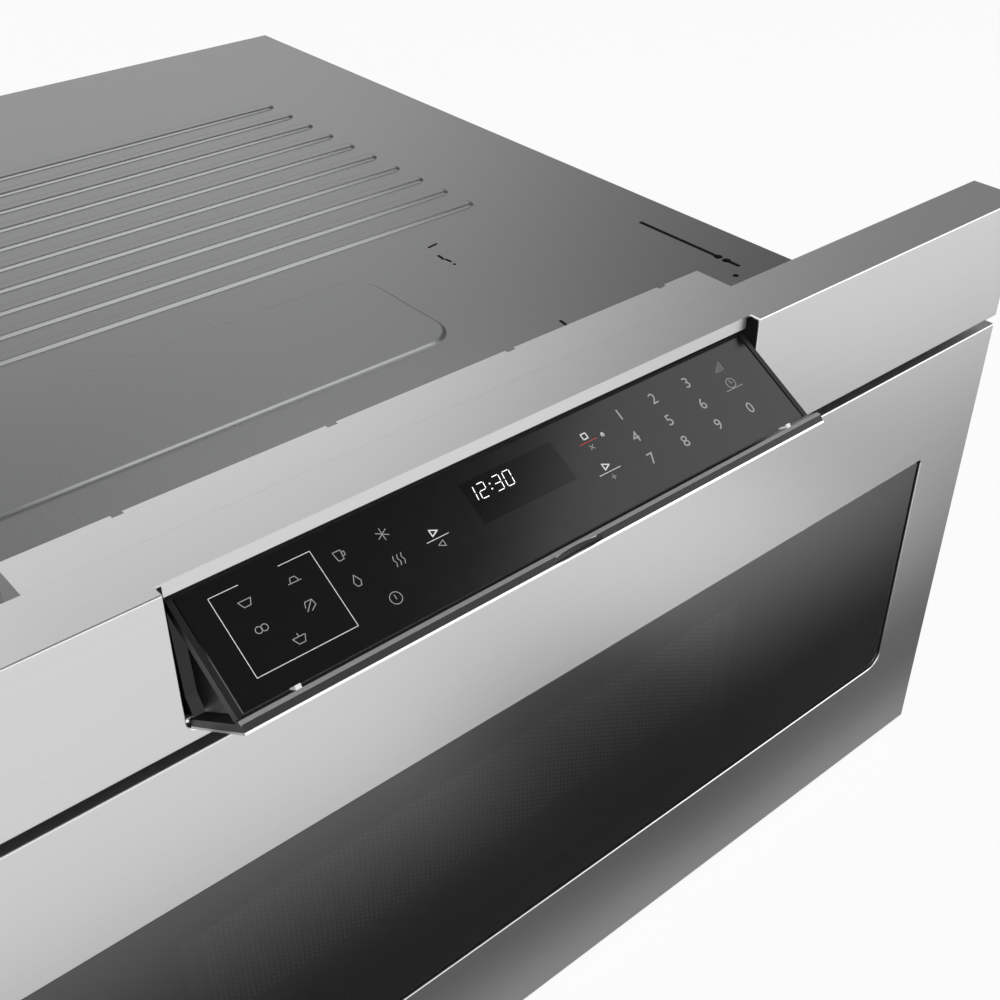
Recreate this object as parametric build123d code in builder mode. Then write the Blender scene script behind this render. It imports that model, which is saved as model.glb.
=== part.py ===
"""A built-in microwave drawer with a tilting control panel, as separate pieces.

Frame: origin at the middle of the underside of the base pan, +X to the right seen
from the front, +Y towards the back, +Z up.  Millimetres.  The rest pose is the
drawer shut and the control panel tilted open.
"""
from math import asin, cos, hypot, pi, radians, sin, tan
import os

from build123d import *

os.makedirs("parts", exist_ok=True)

# ---------------------------------------------------------------- overall sizes
FACE_W = 759.0          # stainless face, side to side
OVERALL_H = 400.0       # underside of the base pan to the top of the face
FACE_BOTTOM = 2.3       # lower edge of the drawer front above the base
FACE_PROUD = 32.0       # face ahead of the cabinet front
CHASSIS_W = 554.0
CHASSIS_D = 594.0
CHASSIS_DROP = 33.4     # top of the chassis below the top of the face
CHASSIS_H = OVERALL_H - CHASSIS_DROP
SHEET = 1.0             # painted and galvanised sheet
SKIN = 1.0              # stainless sheet
FOLD_R = 0.8            # outside radius of a folded stainless edge
SLIP = 0.3              # gap between pieces that pass each other
RUN_FIT = 0.05          # radial gap of a shaft in its hole

# ---------------------------------------------------------------- fixed band of the face
BAND_H = 73.2
FACE_GAP = 5.8          # between the band and the drawer front
BACK_HEM_W = 12.0       # inward flange at the band's back edge
CTRL_W = 315.0          # opening that the control panel swings in
CTRL_SILL = 5.6         # stainless left under that opening
CTRL_R = 5.5
NOTCH_D = 6.0           # how far the opening cuts into the top face
LIP_W = CTRL_W - 5.0    # turned-down lip behind the notch
LIP_H = 6.3
HEM_W = 8.0             # doubled sheet beside the opening
HEM_T = 1.4
HEM_SET = 2.5           # hem back from the edge of the opening
EDGE_BREAK = 0.4        # bright broken edge of cut stainless

# ---------------------------------------------------------------- control housing
HOUSING_W = CTRL_W + 27.0
CAP_W = HOUSING_W + 4.4  # stainless strip on top of the housing
CAP_D = 22.0
CAP_REACH = 22.0        # strip past the housing on the left
CAP_STEP = 0.2          # strip below the top of the band
CAP_FLANGE_H = 20.0
CAP_NOTCH_PITCH = CAP_W / 3.535
CAP_NOTCH_W = 5.0
CAP_NOTCH_D = 1.8
HOUSING_T = 1.2

# ---------------------------------------------------------------- control panel
OPEN_ANGLE = 55.5       # from shut (upright) to open
PIVOT_BACK = 4.0        # hinge line behind the face
PIVOT_RISE = 3.1        # hinge line above the lower edge of the opening
PIN_R = 1.5
PIN_HEAD_R = 3.2
PIN_HEAD_T = 1.2
FASCIA_W = CTRL_W - 3.0
FASCIA_OUT = 3.4        # outer face ahead of the hinge line when shut
FASCIA_T = 1.0
FASCIA_DROP = 1.0       # lower edge below the hinge line when shut
LIP_CLEAR = 1.2         # shut panel to the frame's lip
GLASS_W = FASCIA_W - 9.8
GLASS_LEN = 49.3
GLASS_T = 2.5
GLASS_TILT = 25.7       # fall of the glass towards the back when shut
GLASS_SET_DOWN = 6.9    # front edge of the glass under the panel's top edge
GLASS_SET_BACK = 2.45   # front edge of the glass behind the hinge line
GLASS_GAP = 0.6
BEZEL_W = 2.5           # rim beside the glass
BEZEL_BACK = 1.3        # rim past the glass's back edge
BEZEL_PROUD = 0.4
BODY_WALL = 2.0
CHEEK_DEEP = 5.0        # recess in each end of the panel
CHEEK_RIM = 3.0
TAIL_V = 6.0            # how far the panel's heel reaches behind the hinge line
TAIL_U = -3.4
COVER_T = 1.6
LIP_END_V = 0.6         # top face of the panel's lip, from the fascia back to its bevel
LIP_BEVEL = 1.4
LIP_BAR_W = FASCIA_W - 0.4
LIP_BAR_H = 6.0
TRIM_T = 0.7
LEDGE = 4.0             # ledge that carries the glass
SCOOP_W = 28.0          # finger scoop in the top edge of the panel
SCOOP_D = 2.2
SCOOP_ACROSS = 1.75     # half its width from front to back
SCOOP_X = 1.2
DISPLAY_W = 50.3
DISPLAY_L = 20.1
DISPLAY_T = 4.0
DISPLAY_X = -0.2
DISPLAY_ALONG = 22.0    # front edge of the display from the glass's front edge
BOARD_T = 1.6
BOARD_W = GLASS_W - 16.2
CLIP_W = 2.5
CLIP_V = 1.7            # clip from the lip back over the glass's front edge
CLIP_T = 0.6
CLIP_IN_LEFT = 20.2     # clips from the ends of the glass
CLIP_IN_RIGHT = 15.6

# ---------------------------------------------------------------- cooking drawer
CAVITY_W = 440.0
CAVITY_D = 420.0
FLOOR_Z = 86.0
OVER_CAVITY = 100.6     # chassis top above the tub's rim
CAVITY_H = CHASSIS_H - OVER_CAVITY - FLOOR_Z
TUB_T = 1.0
RIM_W = 10.0
TUB_BACK_OFF = 34.0     # inside front wall of the tub behind the face
TRAY_EDGE = 8.0
TRAY_T = 5.0
TRAY_R = 20.0

# ---------------------------------------------------------------- drawer front
FRONT_D = 24.0
WINDOW_W = FACE_W - 97.8
WINDOW_Z0 = FLOOR_Z - 5.0
WINDOW_H = CAVITY_H - 15.2
WINDOW_R_LOW = 10.0
WINDOW_R_TOP = 3.0
PANE_GAP = 1.0
PANE_BACK = 1.3         # glass behind the face
PANE_T = 4.0
PANE_CHAMFER = 0.7
FRAME_RIM = 20.0        # black frame past the window on each side
FRAME_LAND = 2.6        # thickness of the land that carries the glass
MESH_PLATE_W = CAVITY_W + 84.0
MESH_PLATE_Z0 = FLOOR_Z - 46.0
MESH_PLATE_H = CAVITY_H + 70.0
MESH_PLATE_D = 16.0
MESH_W = CAVITY_W - 109.0   # perforated area, dished slightly
MESH_H = CAVITY_H - 113.7
MESH_Z0 = WINDOW_Z0 + 64.4
VIEW_W = MESH_W + 21.0  # clear hole in the black frame
VIEW_Z0 = WINDOW_Z0 + 24.0
VIEW_H = MESH_H + 43.7
MESH_R = 8.0
MESH_DISH = 0.4
CHOKE_W = CAVITY_W + 36.0
CHOKE_Z0 = FLOOR_Z - 22.0
CHOKE_H = CAVITY_H + 36.0
CHOKE_D = 5.0
CHOKE_RIM = 24.0
LINER_T = 1.0
INNER_PANE_T = 2.4
INNER_LAP = 12.0        # hole in the liner past the perforated area
PANE_LAP = 10.0         # inner window past its hole on each side

# ---------------------------------------------------------------- slides
TRAVEL = 380.0
RAIL_L = 480.0
RAIL_START = 5.0        # front end of the rails behind the cabinet front
RAIL_Z = FLOOR_Z + 64.0
RAIL_W = 12.7
RAIL_T = 1.2
OUTER_H = 45.0
MIDDLE_H = 36.0
INNER_H = 24.0
OUTER_LEG = 8.0
MIDDLE_LEG_OUT = 2.2
MIDDLE_LEG_IN = 3.9
INNER_LEG = 3.4
BALL_PITCH = 40.0
BALL_COUNT = 6
CAGE_T = 0.6
CAGE_START = 100.0      # front end of a ball cage behind the rails' front end
BRACKET_T = 1.5
BRACKET_H = 60.0
STRIKER_OVER = 25.0     # latch strikers above the rail brackets

# ---------------------------------------------------------------- rack and pinion
MODULE = 1.5
PINION_TEETH = 18
GEAR_W = 12.0
ADDENDUM = 1.2
DEDENDUM = 1.875
BACKLASH = 0.3
PRESSURE = 20.0
RACK_BACK_H = 8.0
PINION_IN = 66.0        # pinion axis behind the face
SHAFT_R = 4.0
MOTOR_R = 18.0
MOTOR_L = 46.0
GEARBOX_W = 26.0
GEARBOX_SIDE = 42.0
MOUNT_T = 1.6
MOUNT_FOOT = 34.0

# ---------------------------------------------------------------- oven top and works
ROOF_GAP = 2.0          # roof above the rim of the tub
WELL_SIDE = 202.0       # raised well that the stirrer turns in
WELL_H = 24.0
WELL_Y = -85.0
STIRRER_R = 84.0
STIRRER_VANES = 4
VANE_W = 34.0
VANE_T = 0.8
STIR_SHAFT_R = 3.0
GUIDE_W = 90.0
GUIDE_H = 36.0
GUIDE_T = 1.0
BULKHEAD_GAP = 8.0      # rear bulkhead behind the tub
MAGNETRON_Y = 195.0
MAGNETRON_W = 84.0
MAGNETRON_D = 70.0
MAGNETRON_H = 78.0
FIN_COUNT = 9
ANTENNA_R = 9.0
ANTENNA_H = 22.0
CORE_W = 96.0
CORE_D = 62.0
CORE_H = 84.0
CORE_LEG = 16.0
CORE_X = 165.0
CORE_Y = 205.0
FAN_X = -150.0
FAN_Z = 170.0
FAN_R = 56.0
FAN_D = 30.0
FAN_BLADES = 7
FAN_HUB_R = 16.0
BLADE_PITCH = 32.0
BLADE_T = 1.6
BLADE_CHORD = 28.0
FAN_SHAFT_R = 2.5
SHROUD_WALL = 3.0
VENT_SLOT_W = 3.2
VENT_PITCH = 8.0
GLAND_IN = 52.0         # cord gland from the chassis side
GLAND_X = -CHASSIS_W / 2 + GLAND_IN
GLAND_Z = 62.0
GLAND_BORE_R = 4.5
GLAND_R = 8.0
GLAND_FLANGE_R = 11.5
GLAND_L = 16.0

# ---------------------------------------------------------------- top cover
EMBOSS_H = 1.95
EMBOSS_SLOPE = 40.0     # slope of the raised fields' edges
CREST_R = 3.0           # rounding at the top of those slopes
PANEL_EMBOSS_X0 = -215.0
PANEL_EMBOSS_X1 = 78.7
PANEL_EMBOSS_IN = 92.9  # front edge behind the cabinet front
PANEL_EMBOSS_D = 90.1
PANEL_EMBOSS_R = 20.0
RIB_COUNT = 10
RIB_PITCH = 24.9
RIB_W = 12.2
RIB_IN = 215.5          # first rib behind the cabinet front
RIB_X0 = -215.0
RIB_X1 = 190.0
FLANGE_LEG = 12.0       # turned edges of the chassis sheets
CREASE_IN = 16.6        # shallow step along each side
CREASE_H = 0.6
SLOT_W = 2.8
SLOT_SIDE = 29.8        # long slot from the chassis side
SLOT_IN = 56.0
SLOT_HOLE_R = 2.6
TAB_SLOT_W = 1.8        # small slots left by the bent tabs under the cover
TAB_SLOT_X = 127.2
# sideways from that line, back from the cabinet front, length and lean of each
TAB_SLOTS = ((0.3, 166.8, 5.6, 96), (-0.4, 172.6, 7.0, 82), (0.0, 160.8, 2.2, 90), (5.6, 187.8, 8.0, 10),
             (-0.4, 70.3, 6.6, 80))

# ---------------------------------------------------------------- screws
SCREW_R = 1.5
SCREW_HEAD_R = 3.4
SCREW_HEAD_T = 1.6
SCREW_L = 7.0
SIDE_SCREWS = 4         # along each edge of a side panel
FRAME_SCREW_IN = 14.0   # from the band's top and bottom

# ---------------------------------------------------------------- datum planes
CABINET_Y = -CHASSIS_D / 2
FRONT_Y = CABINET_Y - FACE_PROUD
BACK_Y = CHASSIS_D / 2
BAND_Z = OVERALL_H - BAND_H
DRAWER_TOP = BAND_Z - FACE_GAP
CTRL_Z = BAND_Z + CTRL_SILL
SIDE_X = CHASSIS_W / 2 - SHEET          # inner face of a side panel
LID_Z = CHASSIS_H - SHEET               # underside of the top cover
RIM_Z = FLOOR_Z + CAVITY_H
ROOF_Z = RIM_Z + ROOF_GAP
TUB_Y0 = FRONT_Y + TUB_BACK_OFF
TUB_Y1 = TUB_Y0 + CAVITY_D
BULKHEAD_Y = TUB_Y1 + TUB_T + RIM_W + BULKHEAD_GAP
WELL_TOP = ROOF_Z + WELL_H
GUIDE_TOP = WELL_TOP + GUIDE_H


def block(x0, x1, y0, y1, z0, z1, mode=Mode.ADD):
    """A box between two corners, in the part being built."""
    with Locations(((x0 + x1) / 2, (y0 + y1) / 2, (z0 + z1) / 2)):
        Box(x1 - x0, y1 - y0, z1 - z0, mode=mode)


def twins(x0, x1, y0, y1, z0, z1, mode=Mode.ADD):
    """The same box on the right and, mirrored, on the left."""
    block(x0, x1, y0, y1, z0, z1, mode)
    block(-x1, -x0, y0, y1, z0, z1, mode)


def face_plane(y):
    """Upright plane at y, its normal towards the front, drawn in X and Z."""
    return Plane.XZ.offset(-y)


def side_screws(radius, length, mode=Mode.SUBTRACT):
    """Cylinders inward from the outside of the side panels, outward if length is negative."""
    span = (CHASSIS_D - 90) / (SIDE_SCREWS - 1)
    for side in (-1, 1):
        for z in (SHEET + FLANGE_LEG / 2, LID_Z - FLANGE_LEG / 2):
            with Locations((side * (CHASSIS_W / 2 - length / 2), 0, z)):
                with GridLocations(1, span, 1, SIDE_SCREWS):
                    Cylinder(radius, abs(length), rotation=(0, 90, 0), mode=mode)


def frame_screws_at(radius, y0, y1, mode=Mode.SUBTRACT):
    """Cylinders where the fixed band is screwed to the cabinet flange."""
    span = BAND_H - 2 * FRAME_SCREW_IN
    for side in (-1, 1):
        for z in (BAND_Z + FRAME_SCREW_IN, BAND_Z + FRAME_SCREW_IN + span):
            with Locations((side * (FLANGE_W / 2 - 3.5), (y0 + y1) / 2, z)):
                Cylinder(radius, y1 - y0, rotation=(90, 0, 0), mode=mode)


def save(builder, name):
    """Label a finished piece and write its file."""
    builder.part.label = name
    export_step(builder.part, f"parts/{name}.step")


# ================================================================ chassis
BASE_SLOT_L = 60.0
BASE_SLOT_COUNT = 7
SIDE_SLOT_L = 34.0
SIDE_SLOT_COUNT = 9
SIDE_SLOT_Z = 60.0
REAR_SLOT_L = 70.0
REAR_SLOT_X = 150.0
REAR_SLOT_COUNT = 10
REAR_SLOT_Z = 236.0

with BuildPart() as base_pan:
    block(-CHASSIS_W / 2, CHASSIS_W / 2, CABINET_Y, BACK_Y, 0, SHEET)
    twins(SIDE_X - SHEET, SIDE_X, CABINET_Y, BACK_Y - 2 * SHEET, SHEET, SHEET + FLANGE_LEG)
    with Locations((0, BACK_Y - FLANGE_LEG - BASE_SLOT_L, SHEET / 2)):
        with GridLocations(VENT_PITCH * 2, 1, BASE_SLOT_COUNT, 1):
            Box(VENT_SLOT_W, BASE_SLOT_L, 2 * SHEET, mode=Mode.SUBTRACT)
    side_screws(SCREW_R, 3 * SHEET)
save(base_pan, "base_pan")


with BuildPart() as side_panels:
    twins(SIDE_X, CHASSIS_W / 2, CABINET_Y, BACK_Y - SHEET, SHEET, LID_Z)
    for side in (-1, 1):
        with Locations((side * (SIDE_X + SHEET / 2), BACK_Y - FLANGE_LEG - SIDE_SLOT_COUNT * VENT_PITCH / 2,
                        SIDE_SLOT_Z)):
            with GridLocations(1, VENT_PITCH, 1, SIDE_SLOT_COUNT):
                Box(3 * SHEET, VENT_SLOT_W, SIDE_SLOT_L, mode=Mode.SUBTRACT)
    side_screws(SCREW_R, 3 * SHEET)
save(side_panels, "side_panels")

HOUSING_BACK = FRONT_Y + FACE_PROUD + CAP_D     # outside of the housing's back wall
CAP_BACK = HOUSING_BACK + SKIN
COVER_NOTCH = CAP_W / 2 + 2.0
COVER_NOTCH_Y = CAP_BACK + 2.0


def emboss(x0, x1, y0, y1, corner):
    """A shallow raised field pressed into the top cover."""
    for rise, draw_in, mode in ((EMBOSS_H, 0, Mode.ADD), (EMBOSS_H - SHEET, SHEET, Mode.SUBTRACT)):
        start = 0 if mode == Mode.ADD else SHEET
        with BuildSketch(Plane.XY.offset(CHASSIS_H - start)) as field:
            with Locations(((x0 + x1) / 2, (y0 + y1) / 2)):
                RectangleRounded(x1 - x0 - 2 * draw_in, y1 - y0 - 2 * draw_in, corner - draw_in)
        extrude(field.sketch, amount=rise + start, taper=90 - EMBOSS_SLOPE, mode=mode)


with BuildPart() as top_cover:
    slot_x = CHASSIS_W / 2 - SLOT_SIDE
    block(-CHASSIS_W / 2, CHASSIS_W / 2, CABINET_Y, BACK_Y, LID_Z, CHASSIS_H)
    block(-COVER_NOTCH, COVER_NOTCH, CABINET_Y - 1, COVER_NOTCH_Y, LID_Z - 1, CHASSIS_H + 1,
          Mode.SUBTRACT)
    twins(SIDE_X - SHEET, SIDE_X, CABINET_Y + FLANGE_LEG, BACK_Y - 2 * SHEET, LID_Z - FLANGE_LEG, LID_Z)
    block(-CHASSIS_W / 2 + CREASE_IN, CHASSIS_W / 2 - CREASE_IN, COVER_NOTCH_Y, BACK_Y - CREASE_IN,
          CHASSIS_H, CHASSIS_H + CREASE_H)
    emboss(PANEL_EMBOSS_X0, PANEL_EMBOSS_X1, CABINET_Y + PANEL_EMBOSS_IN,
           CABINET_Y + PANEL_EMBOSS_IN + PANEL_EMBOSS_D, PANEL_EMBOSS_R)
    for index in range(RIB_COUNT):
        rib_y = CABINET_Y + RIB_IN + index * RIB_PITCH
        emboss(RIB_X0, RIB_X1, rib_y, rib_y + RIB_W, RIB_W / 2 - 0.1)
    crest_z = CHASSIS_H + EMBOSS_H
    fillet(top_cover.edges().filter_by_position(Axis.Z, crest_z - 0.01, crest_z + 0.01), CREST_R)
    for slot_y, slot_l in ((SLOT_IN + 3.6, 8.0), (SLOT_IN + 47, 62.0)):
        with Locations((slot_x, CABINET_Y + slot_y, CHASSIS_H)):
            Box(SLOT_W, slot_l, 6 * SHEET, mode=Mode.SUBTRACT)
    with Locations((slot_x, CABINET_Y + SLOT_IN + 9.4, CHASSIS_H),
                   (slot_x, CABINET_Y + SLOT_IN + 15.7, CHASSIS_H)):
        Cylinder(SLOT_HOLE_R, 6 * SHEET, mode=Mode.SUBTRACT)
    with Locations((slot_x - 10.6, CABINET_Y + SLOT_IN - 6.8, CHASSIS_H)):
        Cylinder(SLOT_HOLE_R * 0.7, 6 * SHEET, mode=Mode.SUBTRACT)
    with BuildSketch(Plane.XY.offset(CHASSIS_H - 3 * SHEET)) as tab_slots:
        for step, slot_y, slot_l, lean in TAB_SLOTS:
            with Locations((TAB_SLOT_X + step, CABINET_Y + slot_y)):
                SlotOverall(slot_l, TAB_SLOT_W, rotation=lean)
    extrude(amount=6 * SHEET, mode=Mode.SUBTRACT)
    side_screws(SCREW_R, 3 * SHEET)
save(top_cover, "top_cover")

FAN_Y = BACK_Y - SHEET - FAN_D / 2 - 6.0
VENT_RINGS = 5

with BuildPart() as back_panel:
    block(-CHASSIS_W / 2, CHASSIS_W / 2, BACK_Y - SHEET, BACK_Y, SHEET, LID_Z)
    for ring in range(-VENT_RINGS, VENT_RINGS + 1):
        slot_z = ring * VENT_PITCH
        slot_l = 2 * (FAN_R ** 2 - (slot_z * 0.9) ** 2) ** 0.5 - 8
        with Locations((FAN_X, BACK_Y - SHEET / 2, FAN_Z + slot_z)):
            Box(slot_l, 3 * SHEET, VENT_SLOT_W, mode=Mode.SUBTRACT)
    for row in range(REAR_SLOT_COUNT):
        with Locations((REAR_SLOT_X, BACK_Y - SHEET / 2, REAR_SLOT_Z + row * VENT_PITCH)):
            Box(REAR_SLOT_L, 3 * SHEET, VENT_SLOT_W, mode=Mode.SUBTRACT)
    with Locations((GLAND_X, BACK_Y - SHEET / 2, GLAND_Z)):
        Cylinder(GLAND_R, 4 * SHEET, rotation=(90, 0, 0), mode=Mode.SUBTRACT)
save(back_panel, "back_panel")

FLANGE_W = FACE_W - 11.0    # sheet flange that meets the cabinet front
FLANGE_Z0 = 6.0
FLANGE_TOP = OVERALL_H - SKIN - 1.0
MOUTH_W = CAVITY_W + 52.0   # opening in the flange that the tub passes
MOUTH_Z0 = 16.0
MOUTH_Z1 = RIM_Z + 22.0
SCREW_HOLE_R = 2.5
SCREW_SPAN_X = FLANGE_W - 16.0
SCREW_SPAN_Z = RIM_Z - 36.0
SCREW_MID_Z = 60.0 + SCREW_SPAN_Z / 2

with BuildPart() as flange_stiles:
    twins(CHASSIS_W / 2, FLANGE_W / 2, CABINET_Y - SHEET, CABINET_Y, FLANGE_Z0, FLANGE_TOP)
    with BuildSketch(face_plane(CABINET_Y - SHEET)):
        with Locations((0, SCREW_MID_Z)):
            with GridLocations(SCREW_SPAN_X, SCREW_SPAN_Z, 2, 2):
                Circle(SCREW_HOLE_R)
    extrude(amount=-SHEET, mode=Mode.SUBTRACT)
    frame_screws_at(SCREW_R, CABINET_Y - SHEET, CABINET_Y)
save(flange_stiles, "flange_stiles")

with BuildPart() as front_bulkhead:
    ear_x = HOUSING_W / 2 + 2.0
    block(-CHASSIS_W / 2, CHASSIS_W / 2, CABINET_Y - SHEET, CABINET_Y, FLANGE_Z0, FLANGE_TOP)
    block(-ear_x, ear_x, CABINET_Y - 2 * SHEET, CABINET_Y + SHEET, BAND_Z - SLIP, OVERALL_H, Mode.SUBTRACT)
    block(-MOUTH_W / 2, MOUTH_W / 2, CABINET_Y - 2 * SHEET, CABINET_Y + SHEET, MOUTH_Z0, MOUTH_Z1,
          Mode.SUBTRACT)
save(front_bulkhead, "front_bulkhead")

# ================================================================ fixed band and control housing
with BuildPart() as front_frame:
    block(-FACE_W / 2, FACE_W / 2, FRONT_Y, CABINET_Y, BAND_Z, OVERALL_H)
    fillet(front_frame.edges().group_by(Axis.Y)[0], FOLD_R)
    block(-FACE_W / 2 + SKIN, FACE_W / 2 - SKIN, FRONT_Y + SKIN, CABINET_Y, BAND_Z + SKIN,
          OVERALL_H - SKIN, Mode.SUBTRACT)
    block(-FACE_W / 2 + SKIN, FACE_W / 2 - SKIN, CABINET_Y - SHEET, CABINET_Y, BAND_Z, BAND_Z + SKIN,
          Mode.SUBTRACT)
    twins(FACE_W / 2 - SKIN - BACK_HEM_W, FACE_W / 2 - SKIN, CABINET_Y - SHEET - SKIN, CABINET_Y - SHEET,
          BAND_Z + SKIN, OVERALL_H - SKIN)
    twins(CTRL_W / 2 + HEM_SET, CTRL_W / 2 + HEM_SET + HEM_W, FRONT_Y + SKIN, FRONT_Y + SKIN + HEM_T,
          CTRL_Z, OVERALL_H - SKIN)
    with BuildSketch(face_plane(FRONT_Y + NOTCH_D)):
        with Locations((0, (CTRL_Z + OVERALL_H) / 2 + 5)):
            opening = Rectangle(CTRL_W, OVERALL_H - CTRL_Z + 10)
        fillet(opening.vertices().group_by(Axis.Y)[0], CTRL_R)
    extrude(amount=NOTCH_D + 1, mode=Mode.SUBTRACT)
    low_edges = front_frame.edges().group_by(Axis.Y)[0].filter_by_position(
        Axis.Z, CTRL_Z - 1, CTRL_Z + CTRL_R)
    chamfer(low_edges.filter_by_position(Axis.X, -CTRL_W / 2, CTRL_W / 2), EDGE_BREAK)
    block(-LIP_W / 2, LIP_W / 2, FRONT_Y + NOTCH_D, FRONT_Y + NOTCH_D + SKIN, OVERALL_H - LIP_H,
          OVERALL_H - SKIN / 2)
    frame_screws_at(SCREW_R, CABINET_Y - SHEET - SKIN, CABINET_Y - SHEET)
save(front_frame, "front_frame")

HOUSING_Y0 = FRONT_Y + NOTCH_D + SKIN + SLIP
HOUSING_Z0 = BAND_Z + SKIN + SLIP
CAP_TOP = OVERALL_H - CAP_STEP
HOUSING_Z1 = CAP_TOP - SKIN
EAR_H = 14.0            # hinge ears of the housing, reaching forward of its box
PIVOT_Y = FRONT_Y + PIVOT_BACK
PIVOT_Z = CTRL_Z + PIVOT_RISE

with BuildPart() as control_housing:
    block(-HOUSING_W / 2, HOUSING_W / 2, HOUSING_Y0, HOUSING_BACK, HOUSING_Z0, HOUSING_Z1)
    block(-HOUSING_W / 2 + HOUSING_T, HOUSING_W / 2 - HOUSING_T, HOUSING_Y0, HOUSING_BACK - HOUSING_T,
          HOUSING_Z0 + HOUSING_T, HOUSING_Z1 - HOUSING_T, Mode.SUBTRACT)
    twins(HOUSING_W / 2 - HOUSING_T, HOUSING_W / 2, FRONT_Y + SKIN + SLIP / 2, HOUSING_Y0,
          HOUSING_Z0, HOUSING_Z0 + EAR_H)
    with Locations((0, PIVOT_Y, PIVOT_Z)):
        Cylinder(PIN_R, HOUSING_W + 2, rotation=(0, 90, 0), mode=Mode.SUBTRACT)
save(control_housing, "control_housing")

with BuildPart() as housing_cap:
    cap_left = -CAP_W / 2 - CAP_REACH
    block(cap_left, CAP_W / 2, CABINET_Y + SLIP, CAP_BACK, CAP_TOP - SKIN, CAP_TOP)
    block(cap_left, CAP_W / 2, HOUSING_BACK, CAP_BACK, CAP_TOP - CAP_FLANGE_H, CAP_TOP - SKIN)
    for x in (cap_left, CAP_W / 2 - SKIN):
        block(x, x + SKIN, CABINET_Y + SLIP, HOUSING_BACK, CAP_TOP - CAP_FLANGE_H, CAP_TOP - SKIN)
    with Locations((0, CAP_BACK, CAP_TOP - SKIN)):
        with GridLocations(CAP_NOTCH_PITCH, 1, 4, 1):
            Box(CAP_NOTCH_W, 2 * CAP_NOTCH_D, 4 * SKIN, mode=Mode.SUBTRACT)
save(housing_cap, "housing_cap")

# ================================================================ control panel
# Its section is drawn shut: v runs back from the hinge line, u runs up from it.
turn = radians(OPEN_ANGLE)
panel_plane = Plane(origin=(0, PIVOT_Y, PIVOT_Z), x_dir=(0, cos(turn), sin(turn)), z_dir=(1, 0, 0))
TOP_U = OVERALL_H - LIP_H - LIP_CLEAR - PIVOT_Z
tilt = radians(GLASS_TILT)
GLASS_V0 = GLASS_SET_BACK
GLASS_U0 = TOP_U - GLASS_SET_DOWN
SHUT_V = -FASCIA_OUT + FASCIA_T         # inner face of the fascia


def on_glass(along, deep):
    """Section point at a distance along the glass from its front edge and below its face."""
    v = GLASS_V0 + along * cos(tilt) - deep * sin(tilt)
    u = GLASS_U0 - along * sin(tilt) - deep * cos(tilt)
    return (v, u)


def panel_slab(points, half_width, mode=Mode.ADD):
    """Extrude a section of the panel both ways from its middle."""
    with BuildSketch(panel_plane) as section:
        with BuildLine():
            Polyline(*points, close=True)
        make_face()
    extrude(section.sketch, amount=half_width, both=True, mode=mode)


def panel_slab_at(points, x_mid, width, mode=Mode.ADD):
    """Extrude a section of the panel over a width centred at x_mid."""
    with BuildSketch(panel_plane.offset(x_mid - width / 2)) as section:
        with BuildLine():
            Polyline(*points, close=True)
        make_face()
    extrude(section.sketch, amount=width, mode=mode)


def glass_strip(start, end, top, bottom):
    """Section of a flat layer parallel to the glass."""
    return [on_glass(start, top), on_glass(end, top), on_glass(end, bottom), on_glass(start, bottom)]


BODY_W = GLASS_W + 2 * (GLASS_GAP + BEZEL_W)
FOOT_U = 3.4            # lower corners of the fascia are cut back to clear the rounded opening
FOOT_IN = 3.5
BODY_END = GLASS_LEN + BEZEL_BACK
HEEL_DEEP = 9.0         # height of the panel's back end
lip_in = (LIP_END_V + LIP_BEVEL, TOP_U - LIP_BEVEL)
body_outline = [
    (SHUT_V, TAIL_U + 2.6),
    (SHUT_V, TOP_U),
    (LIP_END_V, TOP_U),
    lip_in,
    on_glass(-GLASS_GAP, -BEZEL_PROUD),
    on_glass(BODY_END, -BEZEL_PROUD),
    on_glass(BODY_END, HEEL_DEEP),
    (TAIL_V, TAIL_U),
    (SHUT_V + 2.0, TAIL_U),
]
lip_bar = [(SHUT_V, TOP_U - LIP_BAR_H), (SHUT_V, TOP_U), (LIP_END_V, TOP_U), lip_in,
           (lip_in[0], TOP_U - LIP_BAR_H + 1.5), (LIP_END_V, TOP_U - LIP_BAR_H)]
body_pocket = [
    (SHUT_V + BODY_WALL, TAIL_U + 8.0),
    (SHUT_V + BODY_WALL, TOP_U - 10.5),
    on_glass(LEDGE, GLASS_T - 0.2),
    on_glass(GLASS_LEN - LEDGE, GLASS_T - 0.2),
    on_glass(GLASS_LEN - BODY_WALL, HEEL_DEEP + 2.0),
    (TAIL_V + 1.0, TAIL_U + 4.0),
]
cheek_recess = [
    (SHUT_V + CHEEK_RIM, TAIL_U + 9.0),
    (SHUT_V + CHEEK_RIM, TOP_U - 11.5),
    on_glass(CHEEK_RIM, GLASS_T + BODY_WALL),
    on_glass(BODY_END - CHEEK_RIM, GLASS_T + BODY_WALL),
    (TAIL_V + 3.0, TAIL_U + 9.0),
]
skirt = [(SHUT_V, FOOT_U), (SHUT_V, TOP_U - LIP_BAR_H), (LIP_END_V, TOP_U - LIP_BAR_H), (LIP_END_V, FOOT_U)]
SCOOP_R = (SCOOP_W ** 2 / 4 + SCOOP_D ** 2) / (2 * SCOOP_D)     # radius of its lowest line


def finger_scoop():
    """Press the long round dip into the panel's top edge."""
    middle = panel_plane.from_local_coords(((SHUT_V + LIP_END_V) / 2, TOP_U + SCOOP_R - SCOOP_D, SCOOP_X))
    with Locations(Plane(origin=middle, z_dir=panel_plane.x_dir)):
        Torus(SCOOP_R - SCOOP_ACROSS, SCOOP_ACROSS, mode=Mode.SUBTRACT)



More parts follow.
